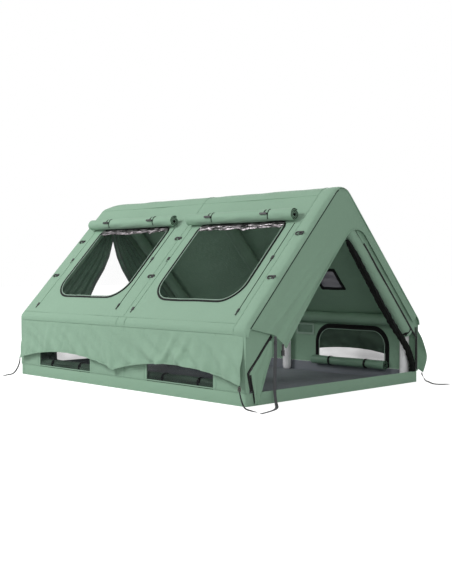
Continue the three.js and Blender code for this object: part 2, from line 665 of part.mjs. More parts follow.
function doorLeaves() {
  place('door_flap_left', sheet(flapPoint, vec(0, flap.thick / 2, 0), ...cloth.flap), finish(colour.shell));

  // Right leaf, rolled up along the slope behind the face band
  const wound = woundRoll(doorRoll, -doorRoll.below, slopeLength - doorRoll.fromApex, PI / 2);
  wound.rotateX(-PI / 2);
  const depth = hoodFace + shell.skin + fit.gap + doorRoll.radius;
  wound.translate(depth, 0, -doorRoll.inset);
  place('door_roll_right', wound, finish(colour.shell), roofFrames.right);

  // Insect net, rolled up along the right edge of the doorway down to the sill
  const reach = meshRoll.radius * (1 + meshRoll.rippleShare);
  const depthNet = hoodFace + shell.skin + fit.gap + meshRoll.clear + reach;
  const route = netRoute().map(([x, z]) => vec(x, depthNet, z));
  const curve = new THREE.CatmullRomCurve3(route, false, 'centripetal');
  const rings = [];
  const steps = cut.net;
  for (let j = 0; j <= steps; j += 1) {
    const share = j / steps;
    const p = curve.getPointAt(share);
    const t = j === steps ? vec(0, 0, -1) : curve.getTangentAt(share);
    const side = vec(0, 1, 0);
    const across = new THREE.Vector3().crossVectors(t, side).normalize();
    const r = meshRoll.radius * (1 + meshRoll.rippleShare * sin(PI * meshRoll.ripples * share));
    rings.push(Array.from({ length: cut.strand }, (_, i) => {
      const angle = 2 * PI * i / cut.strand;
      return p.clone().addScaledVector(side, r * cos(angle)).addScaledVector(across, r * sin(angle));
    }));
  }
  const flat = arcPoints(0, 0, 1, 0, 2 * PI, cut.strand).slice(0, -1);
  const net = loft(rings, THREE.ShapeUtils.triangulateShape(flat, []));
  place('mesh_roll_right', net, finish(colour.black, roughness.net));
}

// The net follows the slope, in shares of the half width and of the rolled leaf's inset,
// then turns down beside the post
const netShares = [[0.09, 1.5], [0.26, 1.545], [0.53, 1.625], [0.71, 1.602], [0.86, 1.545]];

function netRoute() {
  const slanted = netShares.map(([xShare, reachShare]) => {
    const x = xShare * shell.halfWidth;
    return [x, insetLine(reachShare * doorRoll.inset, x)];
  });
  const post = shell.halfWidth - door.rightPost - meshRoll.footInset;
  const foot = seat + fit.gap;
  const knee = [post - meshRoll.kneeInset, meshRoll.kneeHeight];
  return [...slanted, knee, [post, meshRoll.footHeight], [post, foot]];
}

// Rear wall with its own doorway and two curtains tied back to its sides
const rearDoor = shell.halfWidth - rear.post;

function rearEnd() {
  const section = halfSection(innerFace, seat);
  const apex = insetLine(rear.inset, 0) - rear.apexRadius / cos(shell.pitch);
  const arch = arcPoints(0, apex, rear.apexRadius, normalAngle, PI / 2, cut.arc).reverse();
  const half = [
    ...arch,
    new THREE.Vector2(rearDoor, insetLine(rear.inset, rearDoor)),
    new THREE.Vector2(rearDoor, seat),
  ];
  const outline = [...section, ...mirrored(section).slice(1), ...mirrored(half).slice(0, -1), ...half];
  const hole = tube(valve.radius + fit.gap, -fit.overrun, fit.overrun, 'z');
  hole.translate(legPlace, valve.height, 0);
  const wall = without(plate(new THREE.Shape(outline), -shell.skin, 0), hole);
  place('rear_gable', wall, finish(colour.shell), rearFrame);
  for (const [side, sign] of [['left', 1], ['right', -1]]) {
    const tied = sheet((u, v) => curtainPoint(sign, u, v), vec(0, 0, curtain.thick / 2), ...cloth.curtain);
    place(`rear_curtain_${side}`, tied, finish(colour.inner), rearFrame);
  }
}

// Inner edge of a tied-back curtain: shares of the height above the tie, and of the tie's reach
const curtainShares = [
  [1, 0], [0.84, 0], [0.68, 0.065], [0.555, 0.155], [0.42, 0.295], [0.29, 0.4], [0.13, 0.68], [0, 1],
];

function curtainReach(z, top, low) {
  const tieHalf = rearDoor - curtain.tieWidth;
  const share = (z - curtain.tieHeight) / (top - curtain.tieHeight);
  if (share < 0) {
    const down = (curtain.tieHeight - z) / (curtain.tieHeight - low);
    return tieHalf + (curtain.tieWidth - curtain.footWidth) * down;
  }
  const i = max(curtainShares.findIndex(([heightShare]) => heightShare <= share), 1);
  const [[highShare, nearShare], [lowShare, farShare]] = [curtainShares[i - 1], curtainShares[i]];
  const reachShare = nearShare + (farShare - nearShare) * (highShare - share) / (highShare - lowShare);
  return curtain.clearGap + (tieHalf - curtain.clearGap) * reachShare;
}

function curtainPoint(sign, u, v) {
  const low = seat + fit.gap;
  const top = insetLine(rear.inset, 0) - curtain.dropHeight;
  const z = top + v * (low - top);
  const outer = min(insetPlace(rear.inset - rear.overlap, z), rearDoor + rear.overlap);
  const inner = curtainReach(z, top, low);
  const wave = 1 - cos(2 * PI * curtain.folds * u);
  const out = -innerFace - curtain.thick / 2 - curtain.foldDepth * wave;
  return vec(sign * (outer + u * (inner - outer)), z, out);
}

// Zip sliders, each with its hanging pull
function sliders() {
  const [corner, pullCorner] = [slider.width / 4, slider.pullWidth / 4];
  const shape = roundedShape(0, 0, slider.length, slider.width, corner, corner);
  const pull = roundedShape(
    0, -slider.pullLength, slider.pullWidth, slider.pullWidth, pullCorner, pullCorner,
  );
  const tab = plate(pull, slider.pullThick, 2 * slider.pullThick, cut.small);
  const body = joined(plate(shape, 0, slider.thick, cut.small), tab);
  for (const [bay, y] of Object.entries(rollPlaces)) {
    const x = along('left', y - rollLength / 2);
    const piece = body.clone().translate(x, slider.coverLow, fit.gap);
    place(`cover_zip_slider_${bay}`, piece, finish(colour.black, roughness.plastic), roofFrames.left);
  }
  const start = roofPoint(0, -slider.doorInset, -1);
  const group = new THREE.Group();
  const up = (slider.doorLow - start.y) / rise;
  group.position.set(start.x + up * lean, slider.doorLow, fit.gap);
  group.rotation.z = shell.pitch - PI / 2;
  frontFrame.add(group);
  place('door_zip_slider', body.clone(), finish(colour.black, roughness.plastic), group);
}

// Cap on the inflation valve, hinged above it
function valveCap() {
  const disc = tube(valve.capRadius, 0, valve.capThick, 'z');
  const outline = roundedShape(0, 0, valve.capRadius + valve.ear, valve.ear, 0, valve.ear / 4);
  const ear = plate(outline, 0, valve.capThick, cut.small);
  const cap = joined(disc, ear).translate(legPlace, valve.height, valve.proud + fit.gap);
  place('valve_cap', cap, finish(colour.black, roughness.plastic), rearFrame);
}

// Webbing's section, in shares of its width and thickness
const webShares = [
  [-0.5, 0], [-0.44, -0.42], [0, -0.5], [0.44, -0.42], [0.5, 0], [0.44, 0.42], [0, 0.5], [-0.44, 0.42],
];

// Flat webbing laid along a route: each point has its place and the way its face looks, in metres
function webbing(route, width) {
  const smooth = (points) => new THREE.CatmullRomCurve3(points, false, 'centripetal');
  const curve = smooth(route.map((p) => vec(p[0], p[1], p[2]).multiplyScalar(metre)));
  const faces = smooth(route.map((p) => vec(p[3], p[4], p[5])));
  const steps = round(cut.stepsPerPoint * (route.length - 1));
  const rings = [];
  for (let j = 0; j <= steps; j += 1) {
    const p = curve.getPoint(j / steps);
    const t = curve.getTangent(j / steps);
    const side = new THREE.Vector3().crossVectors(t, faces.getPoint(j / steps)).normalize();
    const face = new THREE.Vector3().crossVectors(side, t).normalize();
    rings.push(webShares.map(([a, b]) => (
      p.clone().addScaledVector(side, a * width).addScaledVector(face, b * strap.thick)
    )));
  }
  const flat = webShares.map(([a, b]) => new THREE.Vector2(a, b));
  return loft(rings, THREE.ShapeUtils.triangulateShape(flat, []));
}

const routes = {
  canopy: [
    [-0.7963, -1.5232, 0.499, 0, -1, 0], [-0.797, -1.5233, 0.44, 0, -1, 0],
    [-0.799, -1.5238, 0.36, 0, -1, 0],
    [-0.803, -1.525, 0.27, 0, -1, 0], [-0.809, -1.528, 0.18, 0, -1, 0], [-0.817, -1.535, 0.10, 0, -1, 0.2],
    [-0.832, -1.556, 0.04, 0, -0.8, 0.6], [-0.862, -1.592, 0.009, 0, -0.3, 1],
    [-0.905, -1.636, 0.0016, 0, 0, 1],
    [-0.955, -1.680, 0.0016, 0, 0, 1], [-1.010, -1.718, 0.0016, 0, 0, 1], [-1.070, -1.746, 0.0016, 0, 0, 1],
    [-1.130, -1.765, 0.0016, 0, 0, 1], [-1.190, -1.780, 0.0016, 0, 0, 1], [-1.238, -1.792, 0.0016, 0, 0, 1],
  ],
  frontLeft: [
    [-1.124, -1.470, 0.1544, -1, 0, 0], [-1.1245, -1.4702, 0.128, -1, 0, 0],
    [-1.128, -1.480, 0.098, -1, 0, 0],
    [-1.135, -1.496, 0.070, -1, -0.2, 0.2], [-1.147, -1.520, 0.043, -0.8, -0.3, 0.5],
    [-1.162, -1.551, 0.020, -0.5, -0.4, 0.8], [-1.178, -1.586, 0.006, 0, -0.3, 1],
    [-1.191, -1.622, 0.0016, 0, 0, 1], [-1.201, -1.658, 0.0016, 0, 0, 1], [-1.206, -1.692, 0.0016, 0, 0, 1],
    [-1.203, -1.724, 0.0016, 0, 0, 1],
  ],
  rearLeft: [
    [-1.1238, 1.470, 0.1544, -1, 0, 0], [-1.126, 1.4702, 0.127, -1, 0, 0], [-1.132, 1.473, 0.098, -1, 0, 0],
    [-1.144, 1.476, 0.068, -1, 0, 0.3], [-1.163, 1.479, 0.038, -0.8, 0, 0.6],
    [-1.188, 1.481, 0.014, -0.4, 0, 1],
    [-1.218, 1.479, 0.0024, 0, 0, 1], [-1.248, 1.471, 0.0016, 0, 0, 1], [-1.280, 1.458, 0.0016, 0, 0, 1],
    [-1.305, 1.446, 0.0016, 0, 0, 1], [-1.328, 1.434, 0.0016, 0, 0, 1],
  ],
  frontRight: [
    [1.2035, -1.471, 0.0692, 1, 0, 0], [1.203, -1.4715, 0.056, 1, 0, 0.1],
    [1.199, -1.484, 0.040, 0.8, 0, 0.5],
    [1.185, -1.507, 0.022, 0.4, 0, 0.8], [1.166, -1.533, 0.007, 0, 0, 1], [1.142, -1.563, 0.0016, 0, 0, 1],
    [1.114, -1.597, 0.0016, 0, 0, 1], [1.082, -1.632, 0.0016, 0, 0, 1], [1.050, -1.668, 0.0016, 0, 0, 1],
    [1.024, -1.705, 0.0016, 0, 0, 1], [1.014, -1.744, 0.0016, 0, 0, 1], [1.030, -1.780, 0.0016, 0, 0, 1],
    [1.064, -1.800, 0.0016, 0, 0, 1], [1.100, -1.806, 0.0016, 0, 0, 1], [1.131, -1.806, 0.0016, 0, 0, 1],
  ],
};

function straps() {
  place('canopy_strap', webbing(routes.canopy, strap.width), finish(colour.web));
  place('corner_strap_front_left', webbing(routes.frontLeft, strap.cornerWidth), finish(colour.web));
  place('corner_strap_rear_left', webbing(routes.rearLeft, strap.cornerWidth), finish(colour.web));
  place('corner_strap_front_right', webbing(routes.frontRight, strap.cornerWidth), finish(colour.web));
}

// Side-release buckle on a short web below the canopy's corner
function cornerBuckle() {
  const webWidth = buckle.width - 2 * buckle.wall;
  const edge = canopyPoint(0, canopy.buckleShare, 0);
  const beside = canopyPoint(0, 1, 0);
  const drop = webWidth / 2 * (edge.z - beside.z) / (beside.x - edge.x) + fit.gap;
  const group = new THREE.Group();
  group.position.set(edge.x, edge.z - drop - buckle.web + buckle.wall, -shell.halfLength - edge.y);
  frontFrame.add(group);
  const block = new THREE.BoxGeometry(buckle.width, buckle.height, buckle.thick);
  block.translate(0, -buckle.height / 2, 0);
  const hollow = buckle.thick - 2 * buckle.wall;
  const pocket = new THREE.BoxGeometry(webWidth, buckle.height, hollow);
  pocket.translate(0, -buckle.height / 2 - buckle.wall, 0);
  const web = new THREE.BoxGeometry(webWidth, buckle.web, strap.thick);
  web.translate(0, buckle.web / 2 - buckle.wall, 0);
  const socket = joined(without(block, pocket), web);
  place('buckle_socket', socket, finish(colour.black, roughness.plastic), group);
  const bar = new THREE.BoxGeometry(buckle.width, buckle.plugHeight, buckle.thick);
  bar.translate(0, -buckle.height - fit.gap - buckle.plugHeight / 2, 0);
  const [wide, deep] = [webWidth - 2 * buckle.clear, hollow - 2 * buckle.clear];
  const prongs = new THREE.BoxGeometry(wide, buckle.prong + buckle.wall, deep);
  prongs.translate(0, -buckle.height + (buckle.prong - buckle.wall) / 2, 0);
  place('buckle_plug', joined(bar, prongs), finish(colour.black, roughness.plastic), group);
}

airFrame();
groundsheet();
walls();
roofs();
ridgeCover();
coverRolls();
skirts();
canopyPanel(frontHood());
frontWalls();
doorLeaves();
rearEnd();
sliders();
valveCap();
straps();
cornerBuckle();

export default tent;
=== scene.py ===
from math import cos, pi, radians, sin, sqrt, tan

import bmesh
import bpy
import numpy as np
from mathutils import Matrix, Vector
from mathutils.geometry import delaunay_2d_cdt


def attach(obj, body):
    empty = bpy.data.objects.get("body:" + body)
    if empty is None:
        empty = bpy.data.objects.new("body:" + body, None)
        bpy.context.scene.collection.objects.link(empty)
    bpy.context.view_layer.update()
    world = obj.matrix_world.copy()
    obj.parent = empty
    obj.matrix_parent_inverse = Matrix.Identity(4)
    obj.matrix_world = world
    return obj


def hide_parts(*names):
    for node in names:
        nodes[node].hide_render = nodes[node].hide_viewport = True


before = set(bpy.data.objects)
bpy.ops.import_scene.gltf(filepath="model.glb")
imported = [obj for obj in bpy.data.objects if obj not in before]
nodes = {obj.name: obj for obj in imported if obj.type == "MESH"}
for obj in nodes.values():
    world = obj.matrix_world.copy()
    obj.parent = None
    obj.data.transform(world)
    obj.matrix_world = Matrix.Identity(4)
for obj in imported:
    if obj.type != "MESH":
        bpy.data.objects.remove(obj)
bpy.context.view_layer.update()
scene = bpy.context.scene
scene.view_settings.view_transform = "Standard"

# Camera, from the lines of the tent in the picture
view = {"place": (-5.796, -6.112, 0.994), "turn": 44.35, "tilt": -1.40, "lens": 56.44, "sensor": 36.0}
camera = bpy.data.objects.new("camera", bpy.data.cameras.new("camera"))
camera.data.lens = view["lens"]
camera.data.sensor_width = view["sensor"]
camera.location = view["place"]
camera.rotation_euler = (pi / 2 + radians(view["tilt"]), 0, -radians(view["turn"]))
scene.collection.objects.link(camera)
scene.camera = camera
print("camera ready")

# The tent's own lines in metres, with the slope's pitch
shell = {
    "halfWidth": 1.087, "halfLength": 1.5, "eave": 0.562, "pitch": radians(46.86), "ridgeRadius": 0.143,
    "thick": 0.0025, "rim": 0.0953, "eaveSeam": 0.0463, "eaveRadius": 0.0533,
}
halfWidth, halfLength, ridgeRadius, eaveRadius = (
    shell[word] for word in ("halfWidth", "halfLength", "ridgeRadius", "eaveRadius"))
rise, lean = sin(shell["pitch"]), cos(shell["pitch"])
slopeLength = halfWidth / lean
apex = shell["eave"] + halfWidth * tan(shell["pitch"])
ridgeCentre = apex - ridgeRadius / lean
ridgeTangent = slopeLength - ridgeRadius * tan(shell["pitch"])
normalAngle = pi / 2 - shell["pitch"]
eaveTurn = eaveRadius * tan(normalAngle / 2)
hoodFace, frontSeam = -1.52, -1.37
# Clearance between neighbours, and how deep a skin with its clearance lies
gap, skinDepth = 0.0003, 0.0033
up, frontWay = np.array([0.0, 0.0, 1.0]), (0, -1, 0)


def stack(x, y, z):
    return np.stack(np.broadcast_arrays(x, y, z), axis=-1).astype(float)


def together(*values):
    return np.broadcast_arrays(*(np.asarray(value, float) for value in values))


# A place in the section: s runs up the slope from the eave's corner, out stands off it
def flatRoof(s, out, side=1):
    return side * (halfWidth - s * lean + out * rise), shell["eave"] + s * rise + out * lean


# A smooth uneven field, the same on every run
def waves(place, size, seed, count=9):
    dice = np.random.default_rng(seed)
    total = np.zeros(place.shape[:-1])
    for _ in range(count):
        way = dice.normal(size=place.shape[-1])
        way *= 2 * pi / size * dice.uniform(0.6, 1.6) / np.linalg.norm(way)
        total += np.sin(place @ way + dice.uniform(0, 2 * pi))
    return total / sqrt(count / 2)


def flatWaves(a, b, size, seed):
    return waves(stack(a, b, 0.0), size, seed)


# Slack of the roof cloth between the rafters
slack = {"sag": 0.005, "uneven": 0.0016, "size": 0.34, "bay": 1.4, "pucker": 0.0011, "puckerReach": 0.07}


def slackAt(y, s, seed):
    free = np.sin(np.clip(pi * y / slack["bay"], -pi, pi)) ** 2
    pucker = slack["pucker"] * np.exp(-s / slack["puckerReach"]) * (np.sin(74 * y + 3 * np.sin(9 * y)) - 1)
    return free * (slack["uneven"] * flatWaves(y, s, slack["size"], seed) - slack["sag"] + pucker)


def roofAt(side, y, s, out=0.0):
    y, s = together(y, s)
    x, z = flatRoof(s, out + slackAt(y, s, 5 + side), side)
    return stack(x, y, z)


# The side's section from the rim up the wall, round the eave and on to the roof
def sideAt(side, y, d, out=0.0):
    y, d, out = together(y, d, out)
    radius = eaveRadius
    wallTop = shell["eave"] - eaveTurn
    straight = wallTop - shell["rim"]
    bend = radius * normalAngle
    angle = np.clip((d - straight) / radius, 0, normalAngle)
    beyond = np.maximum(d - straight - bend, 0)
    cx = halfWidth - radius
    x = cx + (radius + out) * np.cos(angle) - beyond * lean
    z = np.minimum(shell["rim"] + d, wallTop) + (radius + out) * np.sin(angle) + beyond * rise
    return stack(side * x, y, z)


# One piece from its points and faces, smooth but for sharp folds
def addPiece(name, points, faces, materials, faceFinish=None, smooth=True):
    mesh = bpy.data.meshes.new(name)
    mesh.from_pydata(np.asarray(points).reshape(-1, 3).tolist(), [], [list(f) for f in faces])
    for material in materials:
        mesh.materials.append(material)
    if faceFinish is not None:
        mesh.polygons.foreach_set("material_index", np.asarray(faceFinish, np.int32))
    mesh.polygons.foreach_set("use_smooth", np.full(len(mesh.polygons), smooth))
    mesh.update()
    mesh.set_sharp_from_angle(angle=radians(46))
    piece = bpy.data.objects.new(name, mesh)
    scene.collection.objects.link(piece)
    return piece


def gridFaces(across, down, loop=False):
    width = across if loop else across + 1
    i, j = np.meshgrid(np.arange(across), np.arange(down))
    a, b = j * width + i, j * width + (i + 1) % width
    return np.stack([a, b, b + width, a + width], -1).reshape(-1, 4)


def pointNormals(points, faces):
    normals, corners = np.zeros_like(points), points[faces]
    ends = ((2, 0), (3, 1)) if faces.shape[1] == 4 else ((1, 0), (2, 0))
    face = np.cross(*(corners[:, a] - corners[:, b] for a, b in ends))
    for k in range(faces.shape[1]):
        np.add.at(normals, faces[:, k], face)
    return normals / np.maximum(np.linalg.norm(normals, axis=1, keepdims=True), 1e-12)


# Gives a surface its thickness inwards and closes its rim: outside first, then inside
def clothPiece(name, points, faces, thick, outside, inside=None):
    faces = np.asarray(faces)
    back = points - pointNormals(points, faces) * thick
    count, sides = len(points), faces.shape[1]
    edges = np.concatenate([np.stack([faces[:, k], faces[:, (k + 1) % sides]], -1) for k in range(sides)])
    key = np.sort(edges, axis=1)
    _, first, uses = np.unique(key, axis=0, return_index=True, return_counts=True)
    rim = edges[first[uses == 1]]
    walls = np.stack([rim[:, 1], rim[:, 0], rim[:, 0] + count, rim[:, 1] + count], -1)
    allFaces = [*faces.tolist(), *(faces[:, ::-1] + count).tolist(), *walls.tolist()]
    finish = [0] * len(faces) + [1 if inside else 0] * len(faces) + [0] * len(walls)
    materials = [finishes[word] for word in (outside, inside) if word]
    return addPiece(name, np.concatenate([points, back]), allFaces, materials, finish)


def gridCloth(name, at, across, down, thick, outside, inside=None, turn=False):
    u, v = np.meshgrid(np.linspace(0, 1, across + 1), np.linspace(0, 1, down + 1))
    faces = gridFaces(across, down)[:, ::-1 if turn else 1]
    return clothPiece(name, at(u.ravel(), v.ravel()), faces, thick, outside, inside)


def insideOutline(points, outline):
    x, y = points[:, 0][:, None], points[:, 1][:, None]
    (x1, y1), (x2, y2) = outline.T, np.roll(outline, -1, axis=0).T
    crosses = (y1 > y) != (y2 > y)
    with np.errstate(divide="ignore", invalid="ignore"):
        at = (x2 - x1) * (y - y1) / (y2 - y1) + x1
    return (crosses & (x < at)).sum(axis=1) % 2 == 1


def insideCut(points, rings):
    keep = insideOutline(points, rings[0])
    for ring in rings[1:]:
        keep &= ~insideOutline(points, ring)
    return keep


def fineOutline(outline, step):
    out = []
    for a, b in zip(outline, np.roll(outline, -1, axis=0)):
        n = max(int(np.ceil(np.linalg.norm(b - a) / step)), 1)
        out.extend(a + (b - a) * k / n for k in range(n))
    return np.array(out)


# A flat cut with holes, drawn in two measures along the surface, then laid on it by at()
def cutCloth(name, outline, holes, step, at, thick, outside, inside=None, turn=False):
    rings = [fineOutline(np.asarray(ring, float), step) for ring in [outline, *holes]]
    low, high = rings[0].min(0), rings[0].max(0)
    gx, gy = np.meshgrid(*(np.arange(low[k] + step / 2, high[k], step) for k in (0, 1)))
    inner = np.stack([gx.ravel(), gy.ravel()], -1)
    border = np.concatenate(rings)
    inner = inner[insideCut(inner, rings)]
    near = np.array([np.min(np.sum((border - p) ** 2, axis=1)) for p in inner])
    inner = inner[near > (0.45 * step) ** 2]
    edges, start = [], 0
    for ring in rings:
        n = len(ring)
        edges += [(start + k, start + (k + 1) % n) for k in range(n)]
        start += n
    flat, _, triangles, *_ = delaunay_2d_cdt([Vector(p) for p in [*border, *inner]], edges, [], 0, 1e-7)
    flat = np.array([tuple(p) for p in flat])
    triangles = np.array([t for t in triangles if len(t) == 3])
    triangles = triangles[insideCut(flat[triangles].mean(axis=1), rings)]
    used, place = np.unique(triangles, return_inverse=True)
    flat, triangles = flat[used], place.reshape(-1, 3)
    a, b, c = (flat[triangles[:, k]] for k in range(3))
    facing = (b[:, 0] - a[:, 0]) * (c[:, 1] - a[:, 1]) - (b[:, 1] - a[:, 1]) * (c[:, 0] - a[:, 0])
    triangles[facing < 0] = triangles[facing < 0][:, ::-1]
    return clothPiece(name, at(*flat.T), triangles[:, ::-1 if turn else 1], thick, outside, inside)


def roundedCut(middle, low, high, width, lowRadius, highRadius, steps=14):
    corners = [
        (middle + width / 2, low, lowRadius, -pi / 2), (middle + width / 2, high, highRadius, 0),
        (middle - width / 2, high, highRadius, pi / 2), (middle - width / 2, low, lowRadius, pi),
    ]
    out = []
    for k, (x, y, r, start) in enumerate(corners):
        cx, cy = x + (-r if k < 2 else r), y + (r if k in (0, 3) else -r)
        count = steps if r > 0 else 0
        for i in range(count + 1):
            angle = start + pi / 2 * i / max(count, 1)
            out.append((cx + r * cos(angle), cy + r * sin(angle)))
    return np.array(out)


def alongPath(path, loop):
    ahead = np.roll(path, -1, axis=0) - path
    behind = path - np.roll(path, 1, axis=0)
    if not loop:
        ahead[-1], behind[0] = behind[-1], ahead[0]
    way = ahead + behind
    return way / np.maximum(np.linalg.norm(way, axis=1, keepdims=True), 1e-12)


# A section (across, out) carried along a path whose face looks along faceDirs
def sweep(path, faceDirs, section, loop=False):
    path = np.asarray(path, float)
    way = alongPath(path, loop)
    side = np.cross(way, np.broadcast_to(faceDirs, path.shape))
    side /= np.maximum(np.linalg.norm(side, axis=1, keepdims=True), 1e-12)
    face = np.cross(side, way)
    section = np.asarray(section, float)
    if section.ndim == 2:
        section = np.broadcast_to(section, (len(path), *section.shape))
    points = path[:, None] + side[:, None] * section[..., :1] + face[:, None] * section[..., 1:]
    n, count = section.shape[1], len(path)
    faces = [
        [j * n + i, j * n + (i + 1) % n, (j + 1) % count * n + (i + 1) % n, (j + 1) % count * n + i]
        for j in range(count if loop else count - 1) for i in range(n)
    ]
    if not loop:
        faces += [list(range(n))[::-1], [(count - 1) * n + i for i in range(n)]]
    return points.reshape(-1, 3), faces


def fullTurn(count):
    return np.arange(count) * 2 * pi / count


def roundSection(across, out, count=8):
    return [(across * cos(a), out * sin(a)) for a in fullTurn(count)]


def tapeSection(width, height, sink=0.0008):
    return [(-width / 2, -sink), (width / 2, -sink), (width * 0.46, height * 0.7), (width * 0.3, height),
            (-width * 0.3, height), (-width * 0.46, height * 0.7)]


# One sweep with a flat section, and one with a round section
def tape(path, ways, width, height, loop=False):
    return path, ways, tapeSection(width, height), loop


def cord(path, ways, across, out=None, loop=False, count=8):
    return path, ways, roundSection(across, out or across, count), loop


# Several sweeps in one piece, settled if a slot is given
def sweptPiece(name, runs, finish, slot=None, *replaced, body="tent"):
    points, faces, start = [], [], 0
    for run in runs:
        p, f = sweep(*run)
        points.append(p)
        faces += [[i + start for i in face] for face in f]
        start += len(p)
    piece = outwards(addPiece(name, np.concatenate(points), faces, [finishes[finish]]))
    return settle(piece, slot, *replaced, body=body) if slot else piece


def outwards(piece):
    work = bmesh.new()
    work.from_mesh(piece.data)
    bmesh.ops.recalc_face_normals(work, faces=work.faces)
    work.to_mesh(piece.data)
    work.free()
    return piece


def settle(piece, slot, *replaced, body="tent"):
    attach(piece, body)
    if replaced:
        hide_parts(*replaced)
    return piece


# Smooth line through a few points
def smoothLine(points, count):
    points = np.asarray(points, float)
    t = np.concatenate([[0], np.cumsum(np.sqrt(np.linalg.norm(np.diff(points[:, :3], axis=0), axis=1)))])
    padded = np.concatenate([[2 * points[0] - points[1]], points, [2 * points[-1] - points[-2]]])
    out = []
    for at in np.linspace(0, t[-1], count):
        k = min(np.searchsorted(t, at, side="right") - 1, len(points) - 2)
        f = (at - t[k]) / (t[k + 1] - t[k])
        a, b, c, d = padded[k:k + 4]
        square, cube = 2 * a - 5 * b + 4 * c - d, 3 * b - a - 3 * c + d
        out.append(0.5 * (2 * b + (c - a) * f + square * f * f + cube * f ** 3))
    return np.array(out)


# Finishes. Colours are written as they are read off a screen, 0 to 255
def screen(colour, share=1.0):
    linear = [(v / 255 / 12.92 if v <= 10 else ((v / 255 + 0.055) / 1.055) ** 2.4) * share for v in colour]
    return (*linear, 1.0)


def feed(tree, node, inputs):
    for key, value in inputs.items():
        if isinstance(value, bpy.types.NodeSocket):
            tree.links.new(value, node.inputs[key])
        else:
            node.inputs[key].default_value = value


def addNode(tree, kind, inputs=None, family="ShaderNode", **settings):
    node = tree.nodes.new(family + kind)
    for key, value in settings.items():
        setattr(node, key, value)
    feed(tree, node, inputs or {})
    return node


# A material with its plain roughness first, then what look() grows from the place on the piece
def newFinish(name, rough, look, *settings):
    material = bpy.data.materials.new(name)
    material.use_nodes = True
    tree = material.node_tree
    shader, place = tree.nodes["Principled BSDF"], addNode(tree, "TexCoord").outputs["Object"]
    feed(tree, shader, {"Roughness": rough})
    feed(tree, shader, look(tree, place, rough, *settings))
    return material


def mixColour(tree, factor, dark, light, way="MIX"):
    return addNode(tree, "Mix", {0: factor, 6: dark, 7: light}, data_type="RGBA", blend_type=way).outputs[2]


def unevenness(tree, place, size, detail=3.0):
    return addNode(tree, "TexNoise", {"Vector": place, "Scale": 1 / size, "Detail": detail}).outputs["Fac"]


def bump(tree, height, depth, **under):
    inputs = {"Height": height, "Distance": depth, "Strength": 1.0, **under}
    return addNode(tree, "Bump", inputs).outputs["Normal"]


def spread(tree, value, low, high):
    inputs = {"Value": value, "From Min": 0.3, "From Max": 0.7, "To Min": low, "To Max": high}
    return addNode(tree, "MapRange", inputs).outputs["Result"]


# Threads that cross, on any face of a piece
def weave(tree, place, size):
    first, second, third = (
        addNode(tree, "TexWave", {"Vector": place, "Scale": 0.31 / size}, bands_direction=way).outputs["Fac"]
        for way in "XYZ")
    return joined(tree, joined(tree, first, second), third)


def joined(tree, first, second, way="ADD"):
    return addNode(tree, "Math", {0: first, 1: second}, operation=way).outputs[0]


def stretched(tree, place, share):
    return addNode(tree, "Mapping", {"Vector": place, "Scale": (1.0, share, 1.0)}).outputs[0]


def clothLooks(tree, place, rough, look):
    patch = unevenness(tree, place, look["patch"])
    grain = unevenness(tree, place, look["grain"], 2.0)
    base = mixColour(tree, patch, *(screen(look["colour"], 1 + way * look["vary"]) for way in (-1, 1)))
    fleck = mixColour(tree, grain, *(screen((255, 255, 255), share) for share in (1 - look["fleck"], 1)))
    soft = bump(tree, unevenness(tree, place, look["crease"], 4.0), look["creaseDepth"])
    return {"Base Color": mixColour(tree, 1.0, base, fleck, "MULTIPLY"),
            "Roughness": spread(tree, grain, rough - 0.06, rough + 0.06),
            "Normal": bump(tree, weave(tree, place, look["thread"]), look["threadDepth"], Normal=soft),
            "Sheen Weight": look["sheen"], "Sheen Roughness": 0.5, "Specular IOR Level": look["gloss"]}


canvas = {
    "colour": (145, 177, 154), "rough": 0.72, "patch": 0.30, "vary": 0.035, "grain": 0.006, "fleck": 0.05,
    "crease": 0.05, "creaseDepth": 0.004, "thread": 0.0012, "threadDepth": 0.00012, "sheen": 0.05, "gloss": 0.2,
}
webWeave = {"rough": 0.75, "thread": 0.0016, "threadDepth": 0.0004, "crease": 0.01, "creaseDepth": 0.001,
            "sheen": 0.04}
looks = {
    "shell": canvas,
    "face": {**canvas, "colour": (143, 176, 152)},
    "lining": {**canvas, "colour": (143, 177, 152), "rough": 0.78, "vary": 0.05},
    "sleeve": {**canvas, "colour": (141, 174, 150), "creaseDepth": 0.006},
    "floor": {**canvas, "colour": (117, 122, 129), "rough": 0.6, "crease": 0.12, "creaseDepth": 0.008,
              "gloss": 0.4},
    "curtain": {**canvas, "colour": (100, 130, 110), "rough": 0.5, "gloss": 0.5, "crease": 0.03},
    "net": {**canvas, "colour": (9, 12, 10), "rough": 0.9, "crease": 0.012, "creaseDepth": 0.005,
            "thread": 0.002, "sheen": 0.02, "gloss": 0.15},
    "black": {**canvas, "colour": (12, 14, 13), "rough": 0.6, "crease": 0.02, "creaseDepth": 0.001,
              "sheen": 0.02},
    "web": {**canvas, "colour": (44, 46, 48), **webWeave},
    "paleWeb": {**canvas, "colour": (92, 94, 96), **webWeave},
    "thread": {**canvas, "colour": (124, 153, 133), "rough": 0.8, "crease": 0.004, "creaseDepth": 0.0003},
    # Dark green: the cover zips' own colour, and painted shade on the front piping's left run
    "zipDarkAndEdgeShade": {**canvas, "colour": (34, 46, 39), "crease": 0.01, "creaseDepth": 0.0008},
    # The vent rolls' cloth is the shell's cloth painted darker: painted shade for their place under the skirt
    # and behind the net
    "ventRollShaded": {**canvas, "colour": (116, 150, 127), "rough": 0.45, "gloss": 0.5, "crease": 0.03},
    "paleBinding": {**canvas, "colour": (160, 186, 168), "rough": 0.55, "crease": 0.01, "creaseDepth": 0.0006},
}
finishes = {
    name: newFinish(name + "Cloth", look["rough"], clothLooks, look) for name, look in looks.items()
}


